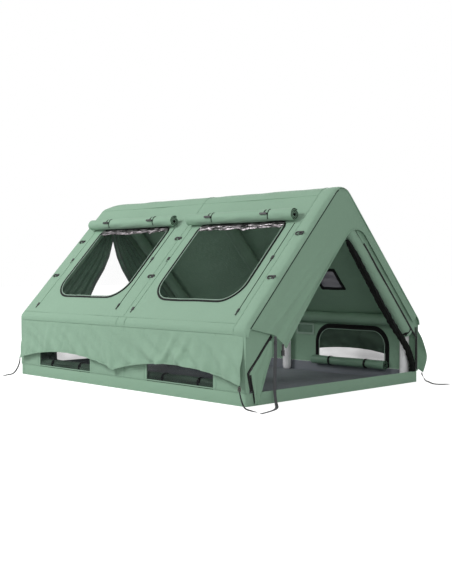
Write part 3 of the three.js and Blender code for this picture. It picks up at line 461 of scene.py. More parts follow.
# Moulded plastic, smooth film, the legs' coated skin and crumpled silver foil
def plasticLooks(tree, place, rough, colour, grain, depth):
    speck = unevenness(tree, place, grain)
    return {"Base Color": mixColour(tree, speck, screen(colour, 0.85), screen(colour, 1.15)),
            "Roughness": spread(tree, speck, rough - 0.08, rough + 0.08), "Normal": bump(tree, speck, depth)}


def foilLooks(tree, place, rough):
    crush = unevenness(tree, stretched(tree, place, 0.30), 0.016, 5.0)
    # The foil's colour runs from near black to light silver with its crumples: painted shade in the creases and
    # painted reflection on the ridges
    shade = spread(tree, crush, 0.0, 1.0)
    return {"Base Color": mixColour(tree, shade, screen((36, 33, 35)), screen((168, 161, 165))),
            "Roughness": spread(tree, crush, rough - 0.02, rough + 0.18), "Normal": bump(tree, crush, 0.007),
            "Metallic": 0.9}


def filmLooks(tree, place, rough, colour, cover, gloss):
    streak = unevenness(tree, stretched(tree, place, 0.35), 0.22, 2.0)
    return {"Base Color": mixColour(tree, streak, screen(colour, 0.9), screen(colour, 1.0)),
            "Alpha": spread(tree, streak, cover * 0.5, cover * 1.5), "Normal": bump(tree, streak, 0.004),
            "Roughness": rough, "Specular IOR Level": gloss}


finishes.update({
    "plastic": newFinish("blackPlastic", 0.5, plasticLooks, (19, 20, 21), 0.0015, 0.0002),
    "brownPlastic": newFinish("buckleBrown", 0.45, plasticLooks, (74, 66, 62), 0.0015, 0.0002),
    "leg": newFinish("legSkin", 0.38, plasticLooks, (238, 238, 239), 0.05, 0.003),
    "hem": newFinish("curtainHem", 0.35, plasticLooks, (120, 128, 124), 0.012, 0.0016),
    "foil": newFinish("silverFoil", 0.24, foilLooks),
    "film": newFinish("clearFilm", 0.12, filmLooks, (120, 140, 128), 0.016, 0.03),
    "greyFilm": newFinish("hatchFilm", 0.3, filmLooks, (112, 110, 124), 0.76, 0.1),
    "mesh": newFinish("ventMesh", 0.9, filmLooks, (40, 43, 44), 0.30, 0.1),
})
print("finishes ready")

# Thickness, outside and inside of the two cloths
shellCloth, faceCloth = (shell["thick"], "shell", "lining"), (shell["thick"], "face", "lining")

# Floor, background and lights
stage = {"floorTone": (206, 207, 207), "glow": 0.90, "floorShare": 0.4, "ambient": 0.38, "half": 40.0}
lamps = {
    "key": {"place": (-6.5, 3.6, 6.0), "aim": (-0.5, 0, 0.6), "size": 3.4, "power": 480},
    "front": {"place": (-4.6, -7.2, 2.4), "aim": (0, -0.5, 0.6), "size": 3.5, "power": 116},
    "back": {"place": (6.5, 3.5, 4.8), "aim": (0, 0, 0.8), "size": 4.0, "power": 230},
}


def clearTree(owner):
    owner.use_nodes = True
    owner.node_tree.nodes.clear()
    return owner.node_tree


# What the camera and mirrors see, and another look for the light that falls on things
def twoLooks(tree, falling, seen, end):
    rays = addNode(tree, "LightPath").outputs
    share = joined(tree, rays["Is Camera Ray"], rays["Is Glossy Ray"], "MAXIMUM")
    share = joined(tree, share, rays["Is Transmission Ray"], "MAXIMUM")
    both = addNode(tree, "MixShader", {0: share, 1: falling.outputs[0], 2: seen.outputs[0]})
    addNode(tree, end, {"Surface": both.outputs[0]})


def makeStage():
    corners = [(x * stage["half"], y * stage["half"], 0) for x, y in ((-1, -1), (1, -1), (1, 1), (-1, 1))]
    material, world = bpy.data.materials.new("studioFloor"), bpy.data.worlds.new("studio")
    floor = addPiece("floor", corners, [(0, 1, 2, 3)], [material])
    floor.location.z = -0.0004
    tree = clearTree(material)
    plain = addNode(tree, "BsdfDiffuse", {"Color": screen(stage["floorTone"])})
    faint = addNode(tree, "BsdfDiffuse", {"Color": (*[stage["floorShare"]] * 3, 1)})
    glow = addNode(tree, "Emission", {"Color": (1, 1, 1, 1), "Strength": stage["glow"]})
    bright = addNode(tree, "AddShader", {0: glow.outputs[0], 1: faint.outputs[0]})
    twoLooks(tree, plain, bright, "OutputMaterial")
    scene.world = world
    tree = clearTree(world)
    soft, white = (addNode(tree, "Background", {"Color": (1, 1, 1, 1), "Strength": strength})
                   for strength in (stage["ambient"], 1.0))
    twoLooks(tree, soft, white, "OutputWorld")
    for name, lamp in lamps.items():
        light = bpy.data.objects.new(name + "Lamp", bpy.data.lights.new(name + "Lamp", "AREA"))
        light.data.energy, light.data.size, light.location = lamp["power"], lamp["size"], lamp["place"]
        aim = Vector(lamp["aim"]) - Vector(lamp["place"])
        light.rotation_euler = aim.to_track_quat("-Z", "Y").to_euler()
        scene.collection.objects.link(light)


makeStage()
print("stage ready")

# Free straps, lying where the source lays them: place and the way the face looks
webWidth, cornerWidth, webThick = 0.025, 0.012, 0.002
strapRoutes = {
    "canopy_strap": (webWidth, "awning", [
        [-0.7963, -1.5232, 0.499, 0, -1, 0], [-0.797, -1.5233, 0.44, -0.4, -0.9, 0],
        [-0.799, -1.5238, 0.36, -0.5, -0.85, 0], [-0.803, -1.525, 0.27, -0.55, -0.85, 0],
        [-0.809, -1.528, 0.18, -0.5, -0.85, 0], [-0.817, -1.535, 0.10, -0.4, -0.9, 0.2],
        [-0.832, -1.556, 0.04, -0.1, -0.8, 0.6], [-0.862, -1.592, 0.009, 0, -0.3, 1],
        [-0.905, -1.636, 0.0016, 0, 0, 1], [-0.955, -1.680, 0.0016, 0, 0, 1],
        [-1.010, -1.718, 0.0016, 0, 0, 1], [-1.070, -1.746, 0.0016, 0, 0, 1],
        [-1.130, -1.765, 0.0016, 0, 0, 1], [-1.190, -1.780, 0.0016, 0, 0, 1],
        [-1.238, -1.792, 0.0016, 0, 0, 1]]),
    "corner_strap_front_left": (cornerWidth, "tent", [
        [-1.124, -1.470, 0.1544, -1, 0, 0], [-1.1245, -1.4702, 0.128, -1, 0, 0],
        [-1.128, -1.480, 0.098, -1, 0, 0], [-1.135, -1.496, 0.070, -1, -0.2, 0.2],
        [-1.147, -1.520, 0.043, -0.8, -0.3, 0.5], [-1.162, -1.551, 0.020, -0.5, -0.4, 0.8],
        [-1.178, -1.586, 0.0085, -0.5, -0.2, 0.8], [-1.191, -1.622, 0.0056, -0.7, 0, 0.7],
        [-1.201, -1.658, 0.0052, -0.6, 0, 0.8], [-1.206, -1.692, 0.0036, -0.3, 0, 1],
        [-1.203, -1.724, 0.0016, 0, 0, 1]]),
    "corner_strap_rear_left": (cornerWidth, "tent", [
        [-1.1238, 1.470, 0.1544, -1, 0, 0], [-1.126, 1.4702, 0.127, -1, -0.4, 0],
        [-1.132, 1.473, 0.098, -0.8, -0.8, 0], [-1.144, 1.476, 0.068, -0.7, -0.8, 0.1],
        [-1.163, 1.479, 0.038, -0.5, -0.9, 0.2], [-1.188, 1.481, 0.014, -0.3, -0.8, 0.5],
        [-1.218, 1.479, 0.0062, 0, -0.7, 0.7], [-1.248, 1.471, 0.0056, 0, -0.7, 0.7],
        [-1.280, 1.458, 0.0050, 0, -0.6, 0.8], [-1.305, 1.446, 0.0036, 0, -0.3, 1],
        [-1.328, 1.434, 0.0016, 0, 0, 1]]),
    "corner_strap_front_right": (cornerWidth, "tent", [
        [1.2035, -1.471, 0.0692, 1, 0, 0], [1.203, -1.4715, 0.056, 1, 0, 0.1],
        [1.199, -1.484, 0.040, 0.8, 0, 0.5], [1.185, -1.507, 0.022, 0.4, 0, 0.8],
        [1.166, -1.533, 0.0085, -0.3, -0.3, 0.9], [1.142, -1.563, 0.0052, -0.5, 0.3, 0.8],
        [1.114, -1.597, 0.0056, -0.6, 0.4, 0.7], [1.082, -1.632, 0.0056, -0.6, 0.4, 0.7],
        [1.050, -1.668, 0.0056, -0.7, 0.3, 0.7], [1.024, -1.705, 0.0056, -0.7, 0, 0.7],
        [1.014, -1.744, 0.0056, -0.6, -0.3, 0.7], [1.030, -1.780, 0.0056, -0.3, -0.6, 0.7],
        [1.064, -1.800, 0.0052, 0, -0.6, 0.8], [1.100, -1.806, 0.0036, 0, -0.3, 1],
        [1.131, -1.806, 0.0016, 0, 0, 1]]),
}


# A ring with a bar across it
def lockPiece(name, place, across, width, height, bar, finish, body):
    half, face, flat = width / 2, np.cross(across, up), np.array([across, up])
    corners = np.array([(-half, -height / 2), (half, -height / 2), (half, height / 2), (-half, height / 2)])
    middle = np.array([(a, 0) for a in np.linspace(-half, half, 5)])
    runs = [cord(place + fineOutline(corners, height / 4) @ flat, face, bar, loop=True),
            cord(place + middle @ flat, face, bar)]
    return sweptPiece(name, runs, finish, "hardware", body=body)


# Name of the lock, its way across, width, height, bar and finish
strapLocks = {
    "canopy_strap": ("ladder_lock", (1.0, 0.0, 0.0), 0.030, 0.024, 0.0022, "plastic"),
    "corner_strap_front_left": ("corner_buckle_front_left", (0.0, 1.0, 0.0), 0.024, 0.028, 0.0032,
                                "brownPlastic"),
}
# Half of a strap's rounded section, as shares of width and thickness
strapHalf = [(-0.5, 0), (-0.46, -0.4), (-0.25, -0.5), (0, -0.5), (0.25, -0.5), (0.46, -0.4)]


def makeStraps():
    for name, (width, body, route) in strapRoutes.items():
        line = smoothLine(route, 8 * len(route))
        path = line[:, :3]
        section = np.array([*strapHalf, *[(-a, -b) for a, b in strapHalf]]) * (width, webThick)
        piece = sweptPiece(name + "_webbing", [(path, line[:, 3:], section, False)],
                           "paleWeb" if name == "canopy_strap" else "web", "webbing", name, body=body)
        locks = []
        if name in strapLocks:
            lockName, *lock = strapLocks[name]
            locks = [lockPiece(lockName, path[7], *lock, body)]


makeStraps()
print("straps ready")

# Walls with the round fold over the eave, open over the rim for two vents
vents = {"shift": 0.012, "middle": 0.3875, "end": 0.3325, "height": 0.335, "radius": 0.14, "band": 0.045,
         "bandDeep": 0.0042, "netDeep": 0.0036, "trimDeep": 0.0078}
ventWidth = halfLength - vents["middle"] - vents["end"]
ventPlace = vents["middle"] + ventWidth / 2
ventSpots = {"front": vents["shift"] - ventPlace, "rear": vents["shift"] + ventPlace}
sideNames = {"left": -1, "right": 1}
wallStraight = shell["eave"] - eaveTurn - shell["rim"]
wallLength = wallStraight + eaveRadius * normalAngle + shell["eaveSeam"] - eaveTurn
clothLook = {"step": 0.022, "wallUneven": 0.0006}


def ventCut(y, grow=0.0, low=0.0):
    return roundedCut(y, low, vents["height"] + grow, ventWidth + 2 * grow, 0, vents["radius"] + grow)


def makeWalls():
    for word, side in sideNames.items():
        def at(y, d):
            uneven = clothLook["wallUneven"] * flatWaves(y, d, 0.30, 30 + side)
            return sideAt(side, y, d, uneven * np.sin(np.clip(pi * d / wallLength, 0, pi)))
        border = [(-halfLength, 0.0)]
        for spot in sorted(ventSpots.values()):
            arch = ventCut(spot)[::-1]
            border += [(spot - ventWidth / 2, 0.0), *arch[arch[:, 1] > 1e-6], (spot + ventWidth / 2, 0.0)]
        border += [(halfLength, 0), (halfLength, wallLength), (-halfLength, wallLength)]
        piece = cutCloth("side_wall_" + word, border, [], clothLook["step"], at, *shellCloth, side < 0)
        settle(piece, "shell", "wall_" + word)


# Roof skins, two windows on one side and a small hatch on the other
windows = {"middle": 0.71, "width": 1.0, "low": 0.265, "high": 1.112, "lowRadius": 0.2, "highRadius": 0.06}
hatch = {"y": -0.753, "low": 0.349, "high": 0.609, "width": 0.285, "frame": 0.030, "radius": 0.012}
windowSpots = {"front": -windows["middle"], "rear": windows["middle"]}
roofLow, roofHigh = 0.0466, ridgeTangent - 0.0303


def windowCut(y, inset=0.0):
    return roundedCut(y, windows["low"] + inset, windows["high"] - inset, windows["width"] - 2 * inset,
                      windows["lowRadius"] - inset, windows["highRadius"] - inset)


def hatchCut(inset):
    return roundedCut(hatch["y"], hatch["low"] + inset, hatch["high"] - inset, hatch["width"] - 2 * inset,
                      hatch["radius"], hatch["radius"], 4)


def makeRoof():
    y0, y1 = frontSeam + gap, halfLength
    border = [(y0, roofLow), (y1, roofLow), (y1, roofHigh), (y0, roofHigh)]
    for word, side in sideNames.items():
        holes = [windowCut(y) for y in windowSpots.values()] if side < 0 else [hatchCut(0.015)]
        piece = cutCloth("roof_skin_" + word, border, holes, clothLook["step"],
                         lambda y, s: roofAt(side, y, s), *shellCloth, side < 0)
        settle(piece, "shell", "roof_" + word)


ridge = {"overlap": 0.030, "uneven": 0.0014, "roundFrom": 0.13, "drop": 0.030}
ridgeArc = ridgeRadius * (pi - 2 * normalAngle)
ridgeWidth = ridgeArc + 2 * ridge["overlap"]


def overRidge(y, w, out=0.0):
    far, r = (np.asarray(w, float) - 0.5) * ridgeWidth, ridgeRadius
    angle = pi / 2 - np.clip(far, -ridgeArc / 2, ridgeArc / 2) / r
    beyond = np.maximum(np.abs(far) - ridgeArc / 2, 0)
    x = (r + out) * np.cos(angle) + np.sign(far) * beyond * lean
    return stack(x, y, ridgeCentre + (r + out) * np.sin(angle) - beyond * rise)


# The ridge rounds off at its rear end
def rearDrop(x, y, z):
    near = np.maximum((y - halfLength + ridge["roundFrom"]) / ridge["roundFrom"], 0) ** 2
    high = np.clip((z - ridgeCentre) / ridgeRadius, 0, 1) ** 2
    return ridge["drop"] * near * high * np.maximum(1 - (x / ridgeRadius) ** 2, 0)


def makeRidgeCover():
    def at(u, v):
        y = frontSeam + gap + u * (halfLength - frontSeam - gap)
        place = overRidge(y, v, ridge["uneven"] * np.sin(pi * v) * flatWaves(y, v * 0.3, 0.4, 44))
        return place - stack(0, 0, rearDrop(place[:, 0], y, place[:, 2]))
    piece = gridCloth("ridge_skin", at, 150, 26, *shellCloth, True)
    settle(piece, "shell", "ridge_cover")


# Window film, its piping and binding (inset, radius, finish, slot), and the crumpled foil below the rolls
windowTrim = {
    "piping": (-0.0080, 0.0080, "black", "zip"),
    "binding": (0.0075, 0.0038, "paleBinding", "inner"),
}


def roofNormal(side):
    return np.array([side * rise, 0.0, lean])


def makeWindows():
    def at(a, b):
        return roofAt(-1, a, b, -0.0012 + 0.0012 * flatWaves(a, b, 0.35, 61))
    for word, y in windowSpots.items():
        film = cutCloth("window_film_" + word, windowCut(y, 0.001), [], 0.035, at, 0.0008, "film", turn=True)
        settle(film, "film", "window_pane_" + word)
        for kind, (inset, radius, finish, slot) in windowTrim.items():
            path = roofAt(-1, *fineOutline(windowCut(y, inset), 0.02).T, 0.003)
            run = cord(path, roofNormal(-1), radius, radius * 0.8, True)
            sweptPiece(f"window_{kind}_{word}", [run], finish, slot)


foil = {"low": 1.052, "high": 1.125, "wavy": 0.004, "deep": 0.00378, "stretch": 0.24, "lift": 0.004}


def makeFoil():
    for word, y in windowSpots.items():
        def at(u, v):
            along = y + (u - 0.5) * (windows["width"] - 0.02)
            low = foil["low"] + foil["wavy"] * flatWaves(along, 0, 0.24, 71 if y < 0 else 72)
            place = stack(along * foil["stretch"], v * 0.10, 0)
            fold = np.abs(waves(place, 0.055, 75)) + 0.3 * np.abs(waves(place, 0.022, 76))
            s = foil["high"] + v * (low - foil["high"]) + 0.0025 * waves(place, 0.05, 77) * v
            out = foil["lift"] + 0.005 * np.sin(pi * v) + foil["deep"] * fold * (0.3 + 0.7 * v)
            return roofAt(-1, along, s, out)
        piece = gridCloth("window_foil_" + word, at, 260, 16, 0.0006, "foil")
        settle(piece, "film")


def makeHatch():
    pane = cutCloth("hatch_film", hatchCut(hatch["frame"] - 0.004), [], 0.03,
                    lambda y, s: roofAt(1, y, s, -0.0040), 0.001, "greyFilm")
    settle(pane, "film")
    border = cutCloth("hatch_frame", hatchCut(0), [hatchCut(hatch["frame"])], 0.01,
                      lambda y, s: roofAt(1, y, s, -skinDepth), 0.005, "black")
    settle(border, "zip", "hatch_pane")


makeWalls()
makeRoof()
makeRidgeCover()
makeWindows()
makeFoil()
makeHatch()
print("skins and windows ready")

# Wound covers: one layer of cloth, with a black sheet filling the gaps between the turns as painted shade, seen
# as dark rings at the ends. Lengths in metres
roll = {"radius": 0.05, "step": 0.012, "turns": 32, "core": 0.006, "gapShadeClearance": 0.0006, "tieWide": 0.013,
        "tieDeep": 0.005}
rolls = {
    "cover": {**roll, "layer": 0.0042, "rings": 150, "slack": 0.0016},
    "vent": {**roll, "radius": 0.0425, "step": 0.0105, "turns": 28, "layer": 0.0036, "rings": 50,
             "slack": 0.0014},
    "door": {**roll, "layer": 0.0046, "rings": 90, "slack": 0.002},
}


# Spiral outline of one layer; inset moves it inwards, for the black sheet of painted shade that fills the gaps
# between the turns
def spiral(size, inset, layer):
    steps = int((size["radius"] - size["layer"] - size["core"]) / size["step"] * size["turns"])
    turn = np.arange(steps + 1) / size["turns"]
    whole = np.floor(turn)
    r = size["radius"] - inset - size["step"] * (whole + (turn - whole) ** 6)
    way = np.stack([np.cos(2 * pi * turn), np.sin(2 * pi * turn)], -1)
    return np.concatenate([way * r[:, None], (way * np.maximum(r - layer, 0.0015)[:, None])[::-1]])


# A roll and its black gap fill of painted shade from one end to the other; ties are the places where a strap
# pulls it in
def woundRoll(name, size, ends, frameOf, start, ties, seed, finish, slot, node):
    turn = np.array([[cos(start), sin(start)], [-sin(start), cos(start)]])
    for cloth in (True, False):
        inset, layer = 0.0 if cloth else size["gapShadeClearance"], size["layer"]
        inner = (0.0, layer) if cloth else (layer + inset, size["step"] - layer - 2 * inset)
        outline = spiral(size, *inner) @ turn
        angle, far = np.arctan2(outline[:, 1], outline[:, 0]), np.linalg.norm(outline, axis=1, keepdims=True)
        rings = []
        for place in np.linspace(ends[0] + inset, ends[1] - inset, size["rings"] if cloth else 3):
            tight = size["tieDeep"] * sum(np.exp(-((place - t) / size["tieWide"]) ** 2) for t in ties)
            field = stack(np.cos(angle) * 0.05, np.sin(angle) * 0.05, place * 0.35)
            loose = size["slack"] * (0.6 * waves(field, 0.07, seed) - 0.7)[:, None] if cloth else 0
            grow = 1 + (loose - tight) / np.maximum(far, size["radius"] * 0.5)
            rings.append(frameOf(*(outline * grow).T, place))
        n, last = len(outline), (len(rings) - 1) * len(outline)
        faces = gridFaces(n, len(rings) - 1, True).tolist()
        for i in range(n // 2 - 1):
            quad = [i, i + 1, n - 2 - i, n - 1 - i]
            faces += [quad[::-1], [k + last for k in quad]]
        piece = outwards(addPiece(name if cloth else name + "_lining", rings, faces,
                                  [finishes[finish if cloth else "net"]]))
        if cloth:
            settle(piece, slot, node)
        else:
            settle(piece, "net")


coverRolls = {"slope": 1.150, "spots": {"front": -0.683, "rear": 0.763}, "length": 1.245, "bandShift": -0.034}
toggleShift = coverRolls["length"] / 2 - 0.2925


# A place on a wound cover's section: a up the slope, b off it
def coverPlace(a, b, y):
    x, z = flatRoof(coverRolls["slope"] + a, gap + rolls["cover"]["radius"] + b, -1)
    return stack(x, y, z)


def makeCoverRolls():
    half = coverRolls["length"] / 2
    for word, y in coverRolls["spots"].items():
        ties = [y + shift + coverRolls["bandShift"] for shift in (-toggleShift, toggleShift)]
        woundRoll("window_cover_" + word, rolls["cover"], (y - half, y + half), coverPlace, 0.0, ties, 81,
                  "shell", "shell", "cover_roll_" + word)


ventRolls = {"inset": 0.0076, "beyond": 0.036, "tie": 0.21, "height": 0.127}
ventCentre = halfWidth - ventRolls["inset"] - rolls["vent"]["radius"]


def makeVentRolls():
    half, tie = ventWidth / 2 + ventRolls["beyond"], ventRolls["tie"]
    for word, side in sideNames.items():
        for bay, y in ventSpots.items():
            # Their cloth takes the darker finish of painted shade
            woundRoll(f"vent_cover_{bay}_{word}", rolls["vent"], (y - half, y + half),
                      lambda a, b, place: stack(side * (ventCentre - a), place, ventRolls["height"] + b), pi,
                      [y - tie, y + tie], 83, "ventRollShaded", "inner", f"vent_roll_{bay}_{word}")


doorRoll = {"inset": 0.176, "low": -0.010, "fromApex": 0.259, "tie": 0.02,
            "depth": hoodFace + skinDepth + rolls["door"]["radius"]}


def doorPlace(a, b, s):
    x, z = flatRoof(s, a - doorRoll["inset"])
    return stack(x, doorRoll["depth"] + b, z)


def makeDoorRoll():
    ends = (doorRoll["low"], slopeLength - doorRoll["fromApex"])
    woundRoll("door_leaf_roll", rolls["door"], ends, doorPlace, pi / 2, [doorRoll["tie"]], 85,
              "shell", "shell", "door_roll_right")


makeCoverRolls()
makeVentRolls()
makeDoorRoll()
print("rolls ready")

# Inflated frame in its sleeves
air = {"ridge": 0.06, "eave": 0.05, "rafter": 0.06, "leg": 0.0425, "seam": 0.0022, "seamWide": 0.07,
       "blunt": 0.03, "rafterDeep": 0.0036, "rafterLow": 0.075, "rafterHigh": ridgeTangent - 0.035,
       "legFoot": 0.0065, "legInset": 0.0123}
eaveX, eaveZ = halfWidth - eaveRadius, shell["eave"] - eaveTurn
ridgeTop = ridgeCentre + ridgeRadius
bays = {"front": -1.4, "middle": 0.0, "rear": 1.4}
legPlace = halfWidth - air["legInset"] - air["leg"]
valve = {"height": 0.3, "ends": (1.43, 1.5026), "radius": 0.0215, "hole": 0.0223}


def airTube(name, node, start, end, radius, seamWay, kind="sleeve", seed=90, uneven=0.0012):
    start, end = np.asarray(start, float), np.asarray(end, float)
    long, blunt, n = np.linalg.norm(end - start), air["blunt"], 40
    way = (end - start) / long
    side = np.cross(way, seamWay)
    side /= np.linalg.norm(side)
    face = np.cross(side, way)
    middle = np.linspace(blunt, long - blunt, max(int(long / 0.02), 12))
    t = np.concatenate([[0, 0.002, 0.008], middle, [long - 0.008, long - 0.002, long]])
    fromEnd = np.minimum(t, long - t)
    shrink = np.sqrt(np.clip(1 - (1 - np.clip(fromEnd / blunt, 0, 1)) ** 2 * 0.55, 0, 1))
    angles = fullTurn(n)
    field = stack(np.cos(angles)[None] * 0.1, np.sin(angles)[None] * 0.1, t[:, None] * 0.6)
    pucker = np.exp(-fromEnd / 0.07)[:, None] * np.cos(angles * 9)[None] * 0.0016
    r = radius * shrink[:, None] - uneven + uneven * 0.5 * waves(field, 0.12, seed) + pucker * 0.5
    r = r + air["seam"] * np.exp(-(np.minimum(angles, 2 * pi - angles) / air["seamWide"]) ** 2)[None]
    r = np.minimum(r, radius)
    points = (start + way * t[:, None])[:, None] + r[..., None] * (
        face * np.cos(angles)[:, None] + side * np.sin(angles)[:, None])[None]
    faces = gridFaces(n, len(t) - 1, True).tolist()
    faces += [list(range(n))[::-1], [(len(t) - 1) * n + i for i in range(n)]]
    piece = outwards(addPiece(name, points, faces, [finishes[kind]]))
    settle(piece, kind, node)


def makeAirFrame():
    reach, z = bays["rear"] + air["rafter"], ridgeTop - skinDepth - air["ridge"]
    airTube("ridge_sleeve", "ridge_beam", (0, -reach, z), (0, reach, z), air["ridge"], (0, 0, -1))
    for word, side in sideNames.items():
        airTube("eave_sleeve_" + word, "eave_beam_" + word, (side * eaveX, -reach, eaveZ),
                (side * eaveX, reach, eaveZ), air["eave"], (-side, 0, 0.4), seed=91)
        for bay, y in bays.items():
            low, high = (roofAt(side, 0.0, s, -air["rafterDeep"] - air["rafter"])
                         for s in (air["rafterLow"], air["rafterHigh"]))
            low[1] = high[1] = y
            airTube(f"rafter_sleeve_{bay}_{word}", f"rafter_{bay}_{word}", low, high, air["rafter"],
                    (-side * rise, 0, -lean), seed=92)
            foot, top = ((side * legPlace, y, z) for z in (air["legFoot"], eaveZ - air["eave"] - gap))
            airTube(f"air_leg_{bay}_{word}", f"leg_{bay}_{word}", foot, top, air["leg"], (-side, 0.3, 0),
                    "leg", 93, 0.0008)
    boss = np.array([(-legPlace, y, valve["height"]) for y in valve["ends"]])
    sweptPiece("valve_body", [cord(boss, up, valve["radius"], count=28)], "plastic", "hardware")


# Floor, and the green rim that makes the door sills
floorLook = {"uneven": 0.0014, "top": 0.0058, "rimThick": 0.012, "rimHigh": 0.0948, "corner": 0.012}


def makeFloor():
    thick, half, high = floorLook["rimThick"], floorLook["rimThick"] / 2, floorLook["rimHigh"] / 2
    halfX, halfY = halfWidth - thick, halfLength - thick

    def at(u, v):
        x, y = (2 * u - 1) * halfX, (2 * v - 1) * halfY
        calm = np.sin(pi * u) ** 0.5 * np.sin(pi * v) ** 0.5
        return stack(x, y, floorLook["top"] + floorLook["uneven"] * calm * flatWaves(x, y, 0.26, 101))
    piece = gridCloth("floor_sheet", at, 120, 150, 0.0035, "floor")
    settle(piece, "floor", "groundsheet")
    ring = roundedCut(0, half - halfLength, halfLength - half, 2 * (halfWidth - half),
                      floorLook["corner"], floorLook["corner"], 5)
    ring = fineOutline(ring, 0.03).T
    section = [(-half, -high), (half, -high), (half, high * 0.93), (half * 0.6, high), (-half * 0.6, high),
               (-half, high * 0.93)]
    rim = sweptPiece("sill_rim", [(stack(*ring, high), up, section, True)], "face", "shell")
    rim.data.materials.append(finishes["floor"])
    for face in rim.data.polygons:
        x, y = face.center[:2]
        face.material_index = int(abs(x) < halfX + half * 0.6 and abs(y) < halfY + half * 0.6)


makeAirFrame()
makeFloor()
print("air frame and floor ready")

# Front band: puffed between a thin seam and a piping, over both slopes and the ridge, down to the eaves
band = {"lip": 0.022, "stations": 240, "pucker": 0.0013, "inset": 0.015, "low": -0.055, "edgeShadeShare": 0.478,
        "edgeShadeStart": 0.010, "calmTop": 0.85, "calmWide": 0.17, "endFade": 0.09, "puckerReach": 0.16,
        "pipingDip": -0.018, "piping": (0.0042, 0.0036), "pipingDown": (0.525, 0.10)}
bandProfile = smoothLine([(frontSeam, 0.0), (-1.4075, 0.0119), (-1.448, 0.018), (-1.487, 0.01296),
                          (-1.5095, -0.0054), (hoodFace, -0.018), (hoodFace, -0.022)], 26)


# Base and normal along the section: far is the distance from the left eave's corner over the ridge
def overTent(far):
    far, half = np.asarray(far, float), ridgeTangent + ridgeArc / 2
    side = np.where(far < half, -1.0, 1.0)
    s = np.where(far < half, far, 2 * half - far)
    onArc, below = s > ridgeTangent, np.maximum(eaveTurn - s, 0)
    angle = pi / 2 - side * (half - np.maximum(s, ridgeTangent)) / ridgeRadius
    x, z = flatRoof(np.maximum(s, eaveTurn), 0.0, side)
    x = np.where(onArc, ridgeRadius * np.cos(angle), x)
    z = np.where(onArc, ridgeCentre + ridgeRadius * np.sin(angle), z)
    nx, nz = np.where(onArc, np.cos(angle), side * rise), np.where(onArc, np.sin(angle), lean)
    down = np.maximum(below - eaveRadius * normalAngle, 0)
    bent = normalAngle - np.minimum(below / eaveRadius, normalAngle)
    x = np.where(below > 0, side * (eaveX + eaveRadius * np.cos(bent)), x)
    z = np.where(below > 0, eaveZ + eaveRadius * np.sin(bent) - down, z)
    return x, z, np.where(below > 0, side * np.cos(bent), nx), np.where(below > 0, np.sin(bent), nz)


overLength = 2 * ridgeTangent + ridgeArc


def bandAt(far, y, out):
    x, z, nx, nz = overTent(far)
    return stack(x + nx * out, y, z + nz * out)


def makeFrontBand():
    def at(u, v):
        far = band["low"] + u * (overLength - 2 * band["low"])
        fromEnd = np.minimum(far, overLength - far)
        full = np.clip((fromEnd - band["low"]) / band["endFade"], 0, 1) ** 0.7
        full = full * (1 - band["calmTop"] * np.exp(-((far - overLength / 2) / band["calmWide"]) ** 2))
        count = len(bandProfile)
        y, n = (np.interp(v * (count - 1), np.arange(count), column) for column in bandProfile.T)
        puff = 0.0022 * flatWaves(far, v * 0.12, 0.22, 111) - 0.001
        n = n * np.where(n > 0, full, 0.35 + 0.65 * full) + np.sin(pi * np.clip(v, 0, 1)) * full * puff
        pucker = band["pucker"] * np.exp(-v / band["puckerReach"])
        return bandAt(far, y, n + pucker * np.sin(far * 150 + 3 * np.sin(far * 17)) * full)
    piece = gridCloth("front_band", at, band["stations"], 26, *shellCloth, True)
    settle(piece, "hood", "front_hood")
    far = np.linspace(band["low"], overLength - band["low"], 260)
    fromEnd = np.minimum(far, overLength - far)
    share = np.clip((fromEnd - band["low"]) / -band["low"], 0.35, 1)
    dip = band["pipingDip"] * np.where(fromEnd > 0, 1, share)
    path, split = bandAt(far, hoodFace - 0.0012, dip), int(len(far) * band["edgeShadeShare"])
    first = int(np.argmax(fromEnd > band["edgeShadeStart"]))
    runs = [path[split:], path[:first + 1]]
    down = np.linspace(*band["pipingDown"], 24)
    runs += [stack(side * (halfWidth + 0.001), -halfLength - 0.0015, down) for side in (-1, 1)]
    # The piping's run up the left slope, ending short of the ridge, takes the dark finish as painted shade
    # along the edge of the shaded front face; the rest keeps the face's green
    for word, paths, finish in (("left", [path[first:split + 1]], "zipDarkAndEdgeShade"), ("right", runs, "face")):
        sweptPiece("front_piping_" + word, [cord(p, frontWay, *band["piping"]) for p in paths], finish, "zip")


archReach, leftReach, archRadius, cheekInset = 0.255, 0.520, 0.170, 0.085
archX = (leftReach - archReach) / (2 * rise)


def insetLine(inset, x):
    return apex - inset / lean - x * tan(shell["pitch"])


def insetPlace(inset, z):
    return (apex - inset / lean - z) / tan(shell["pitch"])


archZ = insetLine(archReach, archX)
cutSlope = (archX + halfWidth) * lean + (archZ - shell["eave"]) * rise


# Peak and right cheek of the front face, in the plane of the piping
def makeFrontFace():
    inset = band["inset"]
    r = ridgeRadius - inset
    arc = [(r * cos(a), ridgeCentre + r * sin(a)) for a in np.linspace(normalAngle, pi - normalAngle, 14)]
    arch = [(archX + archRadius * cos(a), archZ + archRadius * sin(a))
            for a in np.linspace(pi - normalAngle, normalAngle, 16)]
    cheek = flatRoof(roofLow, -cheekInset)
    border = [flatRoof(roofLow, -inset), *arc, flatRoof(cutSlope, -inset, -1), *arch, cheek]

    def at(x, z):
        calm = np.clip((x - (archX - 0.25)) / 0.2, 0, 1)
        return stack(x, hoodFace + 0.0015 + 0.002 * calm * flatWaves(x, z, 0.35, 121), z)
    piece = cutCloth("front_face", border, [], 0.016, at, *faceCloth)
    settle(piece, "hood")
    edge = fineOutline(np.array([cheek, *arch[::-1]]), 0.02)[:-1]
    edge = edge[:np.argmax(edge[:, 0] < arch[0][0] + 1e-4) + 1]
    path = stack(edge[:, 0], hoodFace - 0.0008, edge[:, 1])
    sweptPiece("arch_binding", [tape(path, frontWay, 0.012, 0.0018)], "face", "hood")


